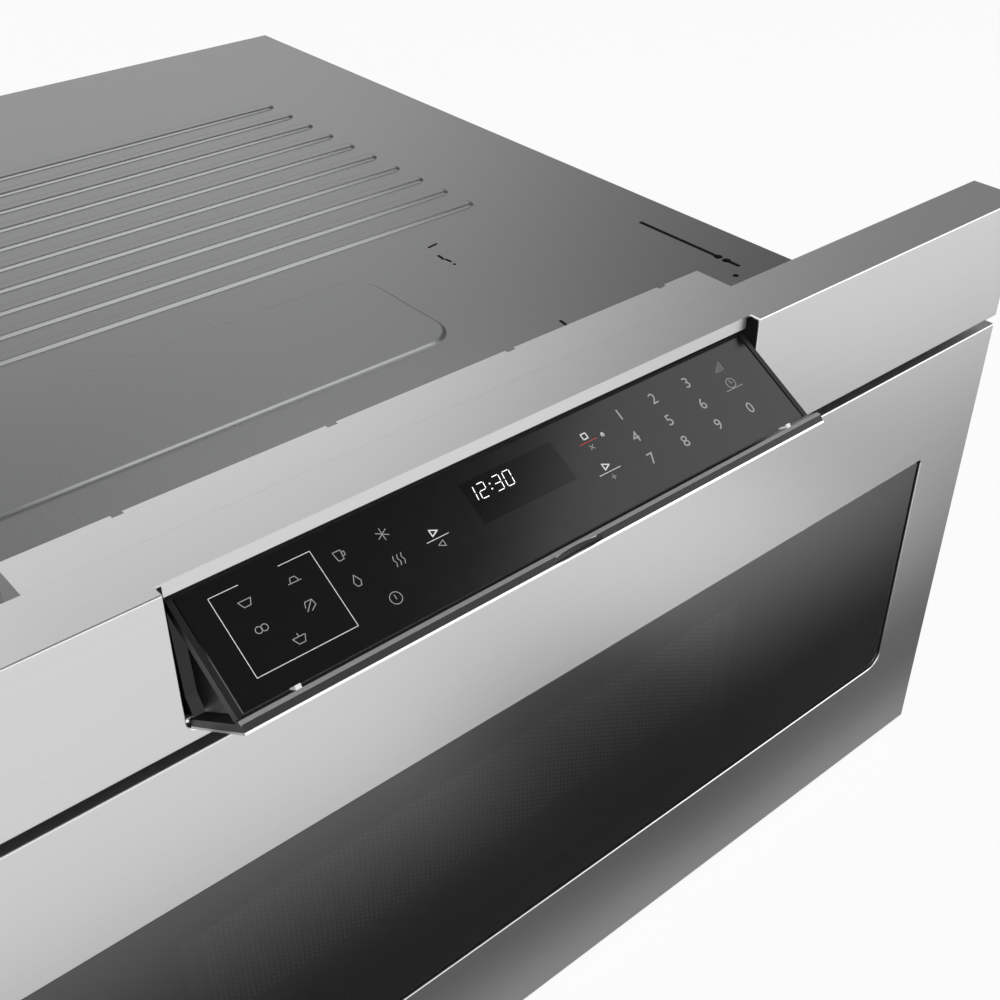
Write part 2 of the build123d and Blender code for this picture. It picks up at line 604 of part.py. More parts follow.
# The cover closes the slope between the heel and the back end.
heel_top = on_glass(BODY_END, HEEL_DEEP)
slope_v = heel_top[0] - TAIL_V
slope_u = heel_top[1] - TAIL_U
slope_len = hypot(slope_v, slope_u)


def on_slope(along, inward):
    """Section point along the underside slope from the heel, and inward from it."""
    v = TAIL_V + along * slope_v / slope_len - inward * slope_u / slope_len
    u = TAIL_U + along * slope_u / slope_len + inward * slope_v / slope_len
    return (v, u)


def slope_strip(start, end, inner):
    """Section of a flat layer on the underside slope."""
    return [on_slope(start, 0), on_slope(end, 0), on_slope(end, inner), on_slope(start, inner)]


COVER_START = 8.0
COVER_END = slope_len - 4.0
COVER_LAP = 2.0
POCKET_W = BODY_W - 2 * CHEEK_DEEP - 2 * BODY_WALL

with BuildPart() as panel_body:
    panel_slab(body_outline, BODY_W / 2)
    panel_slab(body_pocket, POCKET_W / 2, Mode.SUBTRACT)
    panel_slab(slope_strip(COVER_START + COVER_LAP, COVER_END - COVER_LAP, COVER_T + 4),
               POCKET_W / 2, Mode.SUBTRACT)
    panel_slab(slope_strip(COVER_START, COVER_END, COVER_T), POCKET_W / 2 + COVER_LAP, Mode.SUBTRACT)
    panel_slab(glass_strip(-GLASS_GAP, GLASS_LEN + GLASS_GAP, -BEZEL_PROUD - 1, GLASS_T),
               GLASS_W / 2 + GLASS_GAP, Mode.SUBTRACT)
    for side in (-1, 1):
        panel_slab_at(cheek_recess, side * (BODY_W - CHEEK_DEEP) / 2, CHEEK_DEEP, Mode.SUBTRACT)
    panel_slab(lip_bar, LIP_BAR_W / 2)
    for side in (-1, 1):
        panel_slab_at(skirt, side * (BODY_W + LIP_BAR_W) / 4, (LIP_BAR_W - BODY_W) / 2)
    finger_scoop()
    panel_slab([(LIP_END_V, TOP_U), lip_in, (lip_in[0] - TRIM_T, lip_in[1] - TRIM_T),
                (LIP_END_V - TRIM_T, TOP_U - TRIM_T)], LIP_BAR_W, Mode.SUBTRACT)
    with BuildSketch(panel_plane.offset(-BODY_W)) as bore:
        Circle(PIN_R + RUN_FIT)
    extrude(bore.sketch, amount=2 * BODY_W, mode=Mode.SUBTRACT)
save(panel_body, "panel_body")

with BuildPart() as panel_cover:
    panel_slab(slope_strip(COVER_START + SLIP, COVER_END - SLIP, COVER_T), POCKET_W / 2 + COVER_LAP - SLIP)
save(panel_cover, "panel_cover")

with BuildPart() as panel_fascia:
    panel_slab([(-FASCIA_OUT, -FASCIA_DROP), (-FASCIA_OUT, TOP_U), (SHUT_V, TOP_U), (SHUT_V, -FASCIA_DROP)],
               FASCIA_W / 2)
    for side in (-1, 1):
        panel_slab_at([(-FASCIA_OUT - 1, -FASCIA_DROP - 1), (-FASCIA_OUT - 1, FOOT_U), (SHUT_V + 1, FOOT_U),
                       (SHUT_V + 1, -FASCIA_DROP - 1)],
                      side * (FASCIA_W - FOOT_IN) / 2, FOOT_IN, Mode.SUBTRACT)
    finger_scoop()
save(panel_fascia, "panel_fascia")

with BuildPart() as lip_trim:
    panel_slab([(LIP_END_V, TOP_U), lip_in, (lip_in[0] - TRIM_T, lip_in[1] - TRIM_T),
                (LIP_END_V - TRIM_T, TOP_U - TRIM_T)], LIP_BAR_W / 2)
    finger_scoop()
save(lip_trim, "lip_trim")

with BuildPart() as touch_glass:
    panel_slab(glass_strip(0, GLASS_LEN, 0, GLASS_T), GLASS_W / 2)
save(touch_glass, "touch_glass")

BOARD_TOP = GLASS_T + SLIP
BOARD_IN = LEDGE + 1.0
with BuildPart() as touch_board:
    panel_slab(glass_strip(BOARD_IN, GLASS_LEN - BOARD_IN, BOARD_TOP, BOARD_TOP + BOARD_T), BOARD_W / 2)
    panel_slab_at(glass_strip(DISPLAY_ALONG - SLIP, DISPLAY_ALONG + DISPLAY_L + SLIP, 0,
                              BOARD_TOP + 2 * BOARD_T),
                  DISPLAY_X, DISPLAY_W + 2 * SLIP, Mode.SUBTRACT)
save(touch_board, "touch_board")

with BuildPart() as display_module:
    panel_slab_at(glass_strip(DISPLAY_ALONG, DISPLAY_ALONG + DISPLAY_L, BOARD_TOP, BOARD_TOP + DISPLAY_T),
                  DISPLAY_X, DISPLAY_W)
save(display_module, "display_module")

with BuildPart() as glass_clips:
    clip_v = lip_in[0] + CLIP_V
    clip_u = lip_in[1] - CLIP_T
    leg_v = lip_in[0] + CLIP_T
    leg_foot = GLASS_U0 - (leg_v - GLASS_V0) * tan(tilt)
    for x in (-GLASS_W / 2 + CLIP_IN_LEFT, GLASS_W / 2 - CLIP_IN_RIGHT):
        panel_slab_at([lip_in, (clip_v, lip_in[1]), (clip_v, clip_u), (leg_v, clip_u), (leg_v, leg_foot),
                       (GLASS_V0, GLASS_U0), on_glass(-GLASS_GAP, 0), on_glass(-GLASS_GAP, -BEZEL_PROUD)],
                      x, CLIP_W)
save(glass_clips, "glass_clips")

PIN_IN = BODY_W / 2 - CHEEK_DEEP - BODY_WALL
with BuildPart() as hinge_pins:
    for side in (-1, 1):
        with Locations((side * (PIN_IN + HOUSING_W / 2) / 2, PIVOT_Y, PIVOT_Z)):
            Cylinder(PIN_R, HOUSING_W / 2 - PIN_IN, rotation=(0, 90, 0))
        with Locations((side * (HOUSING_W / 2 + PIN_HEAD_T / 2), PIVOT_Y, PIVOT_Z)):
            Cylinder(PIN_HEAD_R - 0.4, PIN_HEAD_T, rotation=(0, 90, 0))
save(hinge_pins, "hinge_pins")

# ================================================================ drawer front
PANE_Y = FRONT_Y + PANE_BACK
LAND_Y = PANE_Y + PANE_T
FRAME_BACK = LAND_Y + FRAME_LAND
MESH_Y = FRAME_BACK + SLIP
MESH_BACK = MESH_Y + MESH_PLATE_D
CHOKE_Y = TUB_Y0 - LINER_T - CHOKE_D
WINDOW_MID = WINDOW_Z0 + WINDOW_H / 2


def window_shape(grow):
    """The window's outline, grown or shrunk, with tight top and wider bottom corners."""
    with BuildSketch(face_plane(FRONT_Y)) as shape:
        with Locations((0, WINDOW_MID)):
            outline = Rectangle(WINDOW_W + 2 * grow, WINDOW_H + 2 * grow)
        fillet(outline.vertices().group_by(Axis.Y)[0], WINDOW_R_LOW + grow)
        fillet(shape.vertices().group_by(Axis.Y)[-1], WINDOW_R_TOP + grow)
    return shape.sketch


def door_slab(sketch, y0, y1, mode=Mode.ADD):
    """Extrude an outline drawn on the face between two depths."""
    extrude(sketch.moved(Location((0, y0 - FRONT_Y, 0))), amount=y1 - y0, dir=(0, 1, 0), mode=mode)


with BuildPart() as drawer_skin:
    block(-FACE_W / 2, FACE_W / 2, FRONT_Y, FRONT_Y + FRONT_D, FACE_BOTTOM, DRAWER_TOP)
    fillet(drawer_skin.edges().group_by(Axis.Y)[0], FOLD_R)
    block(-FACE_W / 2 + SKIN, FACE_W / 2 - SKIN, FRONT_Y + SKIN, FRONT_Y + FRONT_D, FACE_BOTTOM + SKIN,
          DRAWER_TOP - SKIN, Mode.SUBTRACT)
    door_slab(window_shape(0), FRONT_Y - 1, FRONT_Y + SKIN + 1, Mode.SUBTRACT)
    sill_edges = drawer_skin.edges().group_by(Axis.Y)[0].filter_by_position(
        Axis.Z, WINDOW_Z0 - 1, WINDOW_Z0 + WINDOW_R_LOW)
    chamfer(sill_edges.filter_by_position(Axis.X, -WINDOW_W / 2, WINDOW_W / 2), EDGE_BREAK)
save(drawer_skin, "drawer_skin")

with BuildPart() as window_glass:
    door_slab(window_shape(-PANE_GAP), PANE_Y, LAND_Y)
    chamfer(window_glass.edges().group_by(Axis.Y)[0], PANE_CHAMFER)
save(window_glass, "window_glass")

with BuildPart() as glass_frame:
    block(-WINDOW_W / 2 - FRAME_RIM, WINDOW_W / 2 + FRAME_RIM, FRONT_Y + SKIN, FRAME_BACK,
          WINDOW_Z0 - FRAME_RIM, WINDOW_Z0 + WINDOW_H + FRAME_RIM)
    door_slab(window_shape(0), FRONT_Y, LAND_Y, Mode.SUBTRACT)
    block(-VIEW_W / 2, VIEW_W / 2, FRONT_Y, FRAME_BACK + 1, VIEW_Z0, VIEW_Z0 + VIEW_H, Mode.SUBTRACT)
save(glass_frame, "glass_frame")

with BuildPart() as mesh_panel:
    block(-MESH_PLATE_W / 2, MESH_PLATE_W / 2, MESH_Y, MESH_BACK, MESH_PLATE_Z0,
          MESH_PLATE_Z0 + MESH_PLATE_H)
    block(-MESH_PLATE_W / 2 + SHEET, MESH_PLATE_W / 2 - SHEET, MESH_Y + SHEET, MESH_BACK,
          MESH_PLATE_Z0 + SHEET, MESH_PLATE_Z0 + MESH_PLATE_H - SHEET, Mode.SUBTRACT)
    with BuildSketch(face_plane(MESH_Y)):
        with Locations((0, MESH_Z0 + MESH_H / 2)):
            RectangleRounded(MESH_W, MESH_H, MESH_R)
    extrude(amount=-MESH_DISH, mode=Mode.SUBTRACT)
save(mesh_panel, "mesh_panel")

INNER_HOLE_W = MESH_W + 2 * INNER_LAP
INNER_HOLE_Z0 = MESH_Z0 - INNER_LAP
INNER_HOLE_H = MESH_H + 2 * INNER_LAP

with BuildPart() as door_choke:
    block(-CHOKE_W / 2, CHOKE_W / 2, CHOKE_Y, CHOKE_Y + CHOKE_D, CHOKE_Z0, CHOKE_Z0 + CHOKE_H)
    block(-CHOKE_W / 2 + CHOKE_RIM, CHOKE_W / 2 - CHOKE_RIM, CHOKE_Y, CHOKE_Y + CHOKE_D,
          CHOKE_Z0 + CHOKE_RIM, CHOKE_Z0 + CHOKE_H - CHOKE_RIM, Mode.SUBTRACT)
    twins(CHOKE_W / 2 - CHOKE_RIM, CHOKE_W / 2, MESH_BACK, CHOKE_Y, CHOKE_Z0, CHOKE_Z0 + CHOKE_H)
save(door_choke, "door_choke")

with BuildPart() as inner_window:
    pane_y1 = TUB_Y0 - LINER_T
    block(-INNER_HOLE_W / 2 - PANE_LAP, INNER_HOLE_W / 2 + PANE_LAP, pane_y1 - INNER_PANE_T, pane_y1,
          INNER_HOLE_Z0 - PANE_LAP, INNER_HOLE_Z0 + INNER_HOLE_H + PANE_LAP)
save(inner_window, "inner_window")

# ================================================================ cooking drawer
TUB_HW = CAVITY_W / 2 + TUB_T

with BuildPart() as door_liner:
    block(-TUB_HW - RIM_W, TUB_HW + RIM_W, TUB_Y0 - LINER_T, TUB_Y0, FLOOR_Z - TUB_T, RIM_Z)
    block(-INNER_HOLE_W / 2, INNER_HOLE_W / 2, TUB_Y0 - LINER_T, TUB_Y0, INNER_HOLE_Z0,
          INNER_HOLE_Z0 + INNER_HOLE_H, Mode.SUBTRACT)
save(door_liner, "door_liner")

with BuildPart() as tub_floor:
    block(-CAVITY_W / 2, CAVITY_W / 2, TUB_Y0, TUB_Y1, FLOOR_Z - TUB_T, FLOOR_Z)
save(tub_floor, "tub_floor")

with BuildPart() as tub_sides:
    twins(CAVITY_W / 2, TUB_HW, TUB_Y0, TUB_Y1, FLOOR_Z - TUB_T, RIM_Z)
    twins(TUB_HW, TUB_HW + RIM_W, TUB_Y0, TUB_Y1, RIM_Z - TUB_T, RIM_Z)
save(tub_sides, "tub_sides")

with BuildPart() as tub_back:
    block(-TUB_HW, TUB_HW, TUB_Y1, TUB_Y1 + TUB_T, FLOOR_Z - TUB_T, RIM_Z)
    block(-TUB_HW - RIM_W, TUB_HW + RIM_W, TUB_Y1 + TUB_T, TUB_Y1 + TUB_T + RIM_W, RIM_Z - TUB_T, RIM_Z)
save(tub_back, "tub_back")

with BuildPart() as glass_tray:
    with BuildSketch(Plane.XY.offset(FLOOR_Z)):
        with Locations((0, (TUB_Y0 + TUB_Y1) / 2)):
            RectangleRounded(CAVITY_W - 2 * TRAY_EDGE, CAVITY_D - 2 * TRAY_EDGE, TRAY_R)
    extrude(amount=TRAY_T)
    fillet(glass_tray.edges().group_by(Axis.Z)[-1], 1.2)
save(glass_tray, "glass_tray")

STRIKER_Z = RAIL_Z + BRACKET_H / 2 + STRIKER_OVER
STRIKER_H = 12.0
STRIKER_T = 3.0
STRIKER_L = 27.0
STRIKER_OUT = 7.0       # striker beside the tub
striker_x = TUB_HW + STRIKER_OUT

with BuildPart() as latch_strikers:
    twins(striker_x, striker_x + STRIKER_T, TUB_Y0, TUB_Y0 + STRIKER_L, STRIKER_Z, STRIKER_Z + STRIKER_H)
save(latch_strikers, "latch_strikers")

SWITCH_L = 28.0
SWITCH_W = 14.0
with BuildPart() as interlock_switches:
    switch_x = striker_x + STRIKER_T + SLIP
    twins(switch_x, switch_x + SWITCH_W, TUB_Y0 + STRIKER_L - 14, TUB_Y0 + STRIKER_L + SWITCH_L - 14,
          STRIKER_Z - 2, STRIKER_Z + STRIKER_H + 2)
    twins(switch_x + SWITCH_W, SIDE_X, TUB_Y0 + STRIKER_L - 8, TUB_Y0 + STRIKER_L + SWITCH_L - 20,
          STRIKER_Z + 1, STRIKER_Z + STRIKER_H - 1)
save(interlock_switches, "interlock_switches")

# ================================================================ slides
RAIL_X = TUB_HW
MID_WEB = RAIL_X + INNER_LEG + RAIL_T + 1.9
CAGE_IN_X = MID_WEB - 1.3
CAGE_OUT_X = MID_WEB + RAIL_T + MIDDLE_LEG_OUT + 0.4
RAIL_Y0 = CABINET_Y + RAIL_START
RAIL_Y1 = RAIL_Y0 + RAIL_L


def channel(web_x, leg_x0, leg_x1, height):
    """A rail member: an upright web with two legs, on both sides of the drawer."""
    twins(web_x, web_x + RAIL_T, RAIL_Y0, RAIL_Y1, RAIL_Z - height / 2, RAIL_Z + height / 2)
    for z in (RAIL_Z - height / 2, RAIL_Z + height / 2 - RAIL_T):
        twins(leg_x0, leg_x1, RAIL_Y0, RAIL_Y1, z, z + RAIL_T)


with BuildPart() as inner_rails:
    channel(RAIL_X, RAIL_X + RAIL_T, RAIL_X + RAIL_T + INNER_LEG, INNER_H)
save(inner_rails, "inner_rails")

with BuildPart() as middle_rails:
    channel(MID_WEB, MID_WEB - MIDDLE_LEG_IN, MID_WEB + RAIL_T + MIDDLE_LEG_OUT, MIDDLE_H)
save(middle_rails, "middle_rails")

with BuildPart() as outer_rails:
    outer_web = RAIL_X + RAIL_W - RAIL_T
    channel(outer_web, outer_web - OUTER_LEG, outer_web, OUTER_H)
save(outer_rails, "outer_rails")


def ball_cage(strip_x, ball_x, inside_h, outside_h):
    """Two rows of balls on a thin strip, between legs inside_h and outside_h apart."""
    radius = (outside_h - inside_h) / 4 - SLIP
    ball_z = (outside_h + inside_h) / 4
    length = BALL_PITCH * (BALL_COUNT - 1) + 12
    y0 = RAIL_Y0 + CAGE_START
    strip_h = ball_z - radius / 4
    twins(strip_x, strip_x + CAGE_T, y0, y0 + length, RAIL_Z - strip_h, RAIL_Z + strip_h)
    for side in (-1, 1):
        for z in (RAIL_Z - ball_z, RAIL_Z + ball_z):
            for index in range(BALL_COUNT):
                with Locations((side * ball_x, y0 + 6 + index * BALL_PITCH, z)):
                    Sphere(radius, rotation=(90, 0, 0))


with BuildPart() as inner_ball_cages:
    ball_cage(CAGE_IN_X, CAGE_IN_X - 1.2, INNER_H, MIDDLE_H - 2 * RAIL_T)
save(inner_ball_cages, "inner_ball_cages")

with BuildPart() as outer_ball_cages:
    ball_cage(CAGE_OUT_X, CAGE_OUT_X - 0.6, MIDDLE_H, OUTER_H - 2 * RAIL_T)
save(outer_ball_cages, "outer_ball_cages")

with BuildPart() as rail_brackets:
    rail_back = RAIL_X + RAIL_W
    twins(rail_back, rail_back + BRACKET_T, RAIL_Y0, RAIL_Y1, RAIL_Z - BRACKET_H / 2, RAIL_Z + BRACKET_H / 2)
    for z in (RAIL_Z - BRACKET_H / 2, RAIL_Z + BRACKET_H / 2 - BRACKET_T):
        twins(rail_back + BRACKET_T, SIDE_X, RAIL_Y0, RAIL_Y1, z, z + BRACKET_T)
save(rail_brackets, "rail_brackets")

# ================================================================ rack, pinion and gear motor
PITCH = pi * MODULE
PITCH_R = MODULE * PINION_TEETH / 2
pressure = radians(PRESSURE)
RACK_ROOT_Z = FLOOR_Z - TUB_T - RACK_BACK_H
RACK_PITCH_Z = RACK_ROOT_Z - DEDENDUM
PINION_Y = FRONT_Y + PINION_IN
PINION_Z = RACK_PITCH_Z - PITCH_R
RACK_Y0 = PINION_Y - 3 * PITCH
RACK_TEETH = int((TRAVEL + 5 * PITCH) / PITCH) + 1


def rack_points():
    """Outline of the rack in Y and Z, its teeth pointing down."""
    half_tip = PITCH / 4 - BACKLASH / 4 - ADDENDUM * tan(pressure)
    half_root = PITCH / 4 - BACKLASH / 4 + DEDENDUM * tan(pressure)
    points = [(RACK_Y0, FLOOR_Z - TUB_T), (RACK_Y0, RACK_ROOT_Z)]
    for index in range(RACK_TEETH):
        middle = RACK_Y0 + (index + 0.5) * PITCH
        points.append((middle - half_root, RACK_ROOT_Z))
        points.append((middle - half_tip, RACK_PITCH_Z - ADDENDUM))
        points.append((middle + half_tip, RACK_PITCH_Z - ADDENDUM))
        points.append((middle + half_root, RACK_ROOT_Z))
    end = RACK_Y0 + RACK_TEETH * PITCH
    points.append((end, RACK_ROOT_Z))
    points.append((end, FLOOR_Z - TUB_T))
    return points


def involute(angle):
    """The involute function."""
    return tan(angle) - angle


def pinion_points():
    """Outline of the pinion in Y and Z about its own axis, one tooth straight up."""
    base = PITCH_R * cos(pressure)
    tip = PITCH_R + ADDENDUM
    half_pitch = pi / (2 * PINION_TEETH) - BACKLASH / (4 * PITCH_R)
    flank = [(PITCH_R - DEDENDUM, half_pitch + involute(pressure))]
    for step in range(6):
        radius = base + (tip - base) * step / 5
        roll = (max(radius ** 2 / base ** 2 - 1, 0)) ** 0.5
        flank.append((radius, half_pitch + involute(pressure) - roll + asin(roll / hypot(roll, 1))))
    points = []
    for tooth in range(PINION_TEETH):
        middle = pi / 2 + 2 * pi * tooth / PINION_TEETH
        for radius, half in flank:
            points.append((radius * cos(middle - half), radius * sin(middle - half)))
        for radius, half in reversed(flank):
            points.append((radius * cos(middle + half), radius * sin(middle + half)))
    return points


with BuildPart() as rack:
    with BuildSketch(Plane.YZ):
        with BuildLine():
            Polyline(*rack_points(), close=True)
        make_face()
    extrude(amount=GEAR_W / 2, both=True)
save(rack, "rack")

MOUNT_X = GEAR_W / 2 + 2.0
GEARBOX_X = MOUNT_X + MOUNT_T
with BuildPart() as pinion:
    with BuildSketch(Plane(origin=(0, PINION_Y, PINION_Z), x_dir=(0, 1, 0), z_dir=(1, 0, 0))):
        with BuildLine():
            Polyline(*pinion_points(), close=True)
        make_face()
    extrude(amount=GEAR_W / 2, both=True)
    with Locations(((GEARBOX_X + GEARBOX_W - 6 - GEAR_W / 2) / 2, PINION_Y, PINION_Z)):
        Cylinder(SHAFT_R, GEARBOX_X + GEARBOX_W - 6 + GEAR_W / 2, rotation=(0, 90, 0))
save(pinion, "pinion")

with BuildPart() as gear_motor:
    block(GEARBOX_X, GEARBOX_X + GEARBOX_W, PINION_Y - GEARBOX_SIDE / 2, PINION_Y + GEARBOX_SIDE / 2,
          PINION_Z - GEARBOX_SIDE / 2, PINION_Z + GEARBOX_SIDE / 2)
    fillet(gear_motor.edges().filter_by(Axis.X), 4)
    with Locations((GEARBOX_X + GEARBOX_W + MOTOR_L / 2, PINION_Y, PINION_Z)):
        Cylinder(MOTOR_R, MOTOR_L, rotation=(0, 90, 0))
    with Locations((GEARBOX_X + GEARBOX_W + MOTOR_L + 3, PINION_Y, PINION_Z)):
        Cylinder(MOTOR_R / 3, 6, rotation=(0, 90, 0))
    with Locations((GEARBOX_X + (GEARBOX_W - 5) / 2, PINION_Y, PINION_Z)):
        Cylinder(SHAFT_R + RUN_FIT, GEARBOX_W - 5, rotation=(0, 90, 0), mode=Mode.SUBTRACT)
save(gear_motor, "gear_motor")

with BuildPart() as motor_bracket:
    block(MOUNT_X, GEARBOX_X, PINION_Y - GEARBOX_SIDE / 2, PINION_Y + GEARBOX_SIDE / 2, SHEET,
          PINION_Z + GEARBOX_SIDE / 2)
    block(GEARBOX_X, GEARBOX_X + MOUNT_FOOT, PINION_Y - GEARBOX_SIDE / 2, PINION_Y + GEARBOX_SIDE / 2,
          SHEET, SHEET + MOUNT_T)
    with Locations(((MOUNT_X + GEARBOX_X) / 2, PINION_Y, PINION_Z)):
        Cylinder(SHAFT_R + 3, 2 * MOUNT_T, rotation=(0, 90, 0), mode=Mode.SUBTRACT)
save(motor_bracket, "motor_bracket")

# ================================================================ oven top
PORT_W = 76.0
PORT_L = 40.0
PORT_Y = WELL_Y + 36.0
GUIDE_Y0 = WELL_Y + 30.0
GUIDE_Y1 = MAGNETRON_Y + 42.0
LAMP_X = 150.0
LAMP_Y = -200.0
LAMP_R = 11.0
SENSOR_X = -160.0
SENSOR_Y = -150.0
SENSOR_R = 8.0

with BuildPart() as cavity_roof:
    block(-SIDE_X, SIDE_X, CABINET_Y + 3, BULKHEAD_Y, ROOF_Z, ROOF_Z + SHEET)
    block(-WELL_SIDE / 2, WELL_SIDE / 2, WELL_Y - WELL_SIDE / 2, WELL_Y + WELL_SIDE / 2, ROOF_Z, WELL_TOP)
    block(-WELL_SIDE / 2 + SHEET, WELL_SIDE / 2 - SHEET, WELL_Y - WELL_SIDE / 2 + SHEET,
          WELL_Y + WELL_SIDE / 2 - SHEET, ROOF_Z, WELL_TOP - SHEET, Mode.SUBTRACT)
    block(-PORT_W / 2, PORT_W / 2, PORT_Y, PORT_Y + PORT_L, WELL_TOP - 2, WELL_TOP + 1, Mode.SUBTRACT)
    with Locations((0, WELL_Y, WELL_TOP)):
        Cylinder(STIR_SHAFT_R + 2, 4, mode=Mode.SUBTRACT)
    with Locations((LAMP_X, LAMP_Y, ROOF_Z)):
        Cylinder(LAMP_R - 2, 4, mode=Mode.SUBTRACT)
    with Locations((SENSOR_X, SENSOR_Y, ROOF_Z)):
        Cylinder(SENSOR_R - 2, 4, mode=Mode.SUBTRACT)
save(cavity_roof, "cavity_roof")

with BuildPart() as stirrer_cover:
    cover_side = WELL_SIDE / 2 - SHEET
    block(-cover_side, cover_side, WELL_Y - cover_side, WELL_Y + cover_side, ROOF_Z, ROOF_Z + 1.2)
save(stirrer_cover, "stirrer_cover")

STIR_Z = ROOF_Z + 9.0
with BuildPart() as stirrer_blade:
    with Locations((0, WELL_Y, STIR_Z)):
        Cylinder(12, VANE_T)
    for index in range(STIRRER_VANES):
        with BuildSketch(Plane.XY.offset(STIR_Z - VANE_T / 2)) as vane:
            with Locations((0, WELL_Y)):
                with Locations(Rotation(0, 0, index * 360 / STIRRER_VANES + 20)):
                    with Locations((STIRRER_R / 2 - 4, 0)):
                        Rectangle(STIRRER_R - 8, VANE_W * (0.6 + 0.13 * index))
        extrude(vane.sketch, amount=VANE_T)
    with Locations((0, WELL_Y, (STIR_Z + WELL_TOP + 8) / 2)):
        Cylinder(STIR_SHAFT_R, WELL_TOP + 8 - STIR_Z)
save(stirrer_blade, "stirrer_blade")

with BuildPart() as stirrer_motor:
    block(-24, 24, WELL_Y - 24, WELL_Y + 24, WELL_TOP, WELL_TOP + 20)
    fillet(stirrer_motor.edges().filter_by(Axis.Z), 6)
    with Locations((0, WELL_Y, WELL_TOP + 5)):
        Cylinder(STIR_SHAFT_R + RUN_FIT, 10, mode=Mode.SUBTRACT)
save(stirrer_motor, "stirrer_motor")

with BuildPart() as waveguide:
    block(-GUIDE_W / 2, GUIDE_W / 2, GUIDE_Y0, GUIDE_Y1, WELL_TOP, GUIDE_TOP)
    block(-GUIDE_W / 2 + GUIDE_T, GUIDE_W / 2 - GUIDE_T, GUIDE_Y0 + GUIDE_T, GUIDE_Y1 - GUIDE_T,
          WELL_TOP + GUIDE_T, GUIDE_TOP - GUIDE_T, Mode.SUBTRACT)
    block(-PORT_W / 2, PORT_W / 2, PORT_Y, PORT_Y + PORT_L, WELL_TOP - 1, WELL_TOP + GUIDE_T + 1,
          Mode.SUBTRACT)
    with Locations((0, MAGNETRON_Y, WELL_TOP)):
        Cylinder(ANTENNA_R + 2, 4 * GUIDE_T, mode=Mode.SUBTRACT)
save(waveguide, "waveguide")

with BuildPart() as oven_lamp:
    with Locations((LAMP_X, LAMP_Y, ROOF_Z + SHEET + 2)):
        Cylinder(LAMP_R + 4, 4)
    with Locations((LAMP_X, LAMP_Y, ROOF_Z + SHEET + 4 + LAMP_R)):
        Cylinder(LAMP_R, 2 * LAMP_R)
    with Locations((LAMP_X, LAMP_Y, ROOF_Z + SHEET + 4 + 2 * LAMP_R)):
        Sphere(LAMP_R)
save(oven_lamp, "oven_lamp")

with BuildPart() as humidity_sensor:
    with Locations((SENSOR_X, SENSOR_Y, ROOF_Z + SHEET + 1)):
        Box(34, 20, 2)
    with Locations((SENSOR_X, SENSOR_Y, ROOF_Z + SHEET + 8)):
        Cylinder(SENSOR_R, 14)
save(humidity_sensor, "humidity_sensor")

with BuildPart() as rear_bulkhead:
    block(-SIDE_X, SIDE_X, BULKHEAD_Y, BULKHEAD_Y + SHEET, SHEET, LID_Z - SLIP)
    block(-GUIDE_W / 2 - SLIP, GUIDE_W / 2 + SLIP, BULKHEAD_Y, BULKHEAD_Y + SHEET, WELL_TOP - SLIP,
          GUIDE_TOP + SLIP, Mode.SUBTRACT)
    twins(SIDE_X - 2 * SHEET - SLIP, SIDE_X, BULKHEAD_Y, BULKHEAD_Y + SHEET, LID_Z - FLANGE_LEG - SLIP,
          LID_Z, Mode.SUBTRACT)
    twins(SIDE_X - 2 * SHEET - SLIP, SIDE_X, BULKHEAD_Y, BULKHEAD_Y + SHEET, 0, SHEET + FLANGE_LEG + SLIP,
          Mode.SUBTRACT)
    twins(RAIL_X - 2, SIDE_X, BULKHEAD_Y, BULKHEAD_Y + SHEET, RAIL_Z - BRACKET_H / 2 - 3,
          RAIL_Z + BRACKET_H / 2 + 3, Mode.SUBTRACT)
save(rear_bulkhead, "rear_bulkhead")

# ================================================================ rear works
FIN_T = 1.0
with BuildPart() as magnetron:
    magnetron_z0 = WELL_TOP - MAGNETRON_H
    for z in (magnetron_z0, WELL_TOP - 2):
        block(-MAGNETRON_W / 2, MAGNETRON_W / 2, MAGNETRON_Y - MAGNETRON_D / 2, MAGNETRON_Y + MAGNETRON_D / 2,
              z, z + 2)
    for side in (-1, 1):
        x_in = side * MAGNETRON_W / 2
        block(min(x_in, x_in - side * 2), max(x_in, x_in - side * 2), MAGNETRON_Y - MAGNETRON_D / 2,
              MAGNETRON_Y + MAGNETRON_D / 2, magnetron_z0, WELL_TOP)
    with Locations((0, MAGNETRON_Y, WELL_TOP - MAGNETRON_H / 2)):
        Cylinder(19, MAGNETRON_H)
    fin_pitch = (MAGNETRON_H - 24) / (FIN_COUNT - 1)
    for index in range(FIN_COUNT):
        fin_z = magnetron_z0 + 12 + index * fin_pitch
        block(-MAGNETRON_W / 2 + 2, MAGNETRON_W / 2 - 2, MAGNETRON_Y - MAGNETRON_D / 2 + 4,
              MAGNETRON_Y + MAGNETRON_D / 2 - 4, fin_z, fin_z + FIN_T)
    with Locations((0, MAGNETRON_Y, WELL_TOP + ANTENNA_H / 2)):
        Cylinder(ANTENNA_R, ANTENNA_H)
save(magnetron, "magnetron")

with BuildPart() as transformer_core:
    block(CORE_X - CORE_W / 2, CORE_X + CORE_W / 2, CORE_Y - CORE_D / 2, CORE_Y + CORE_D / 2, SHEET,
          SHEET + CORE_H)
    window_w = (CORE_W - 4 * CORE_LEG) / 2
    for side in (-1, 1):
        with Locations((CORE_X + side * (CORE_LEG + window_w / 2), CORE_Y, SHEET + CORE_H / 2)):
            Box(window_w, CORE_D + 2, CORE_H - 2 * CORE_LEG, mode=Mode.SUBTRACT)
save(transformer_core, "transformer_core")

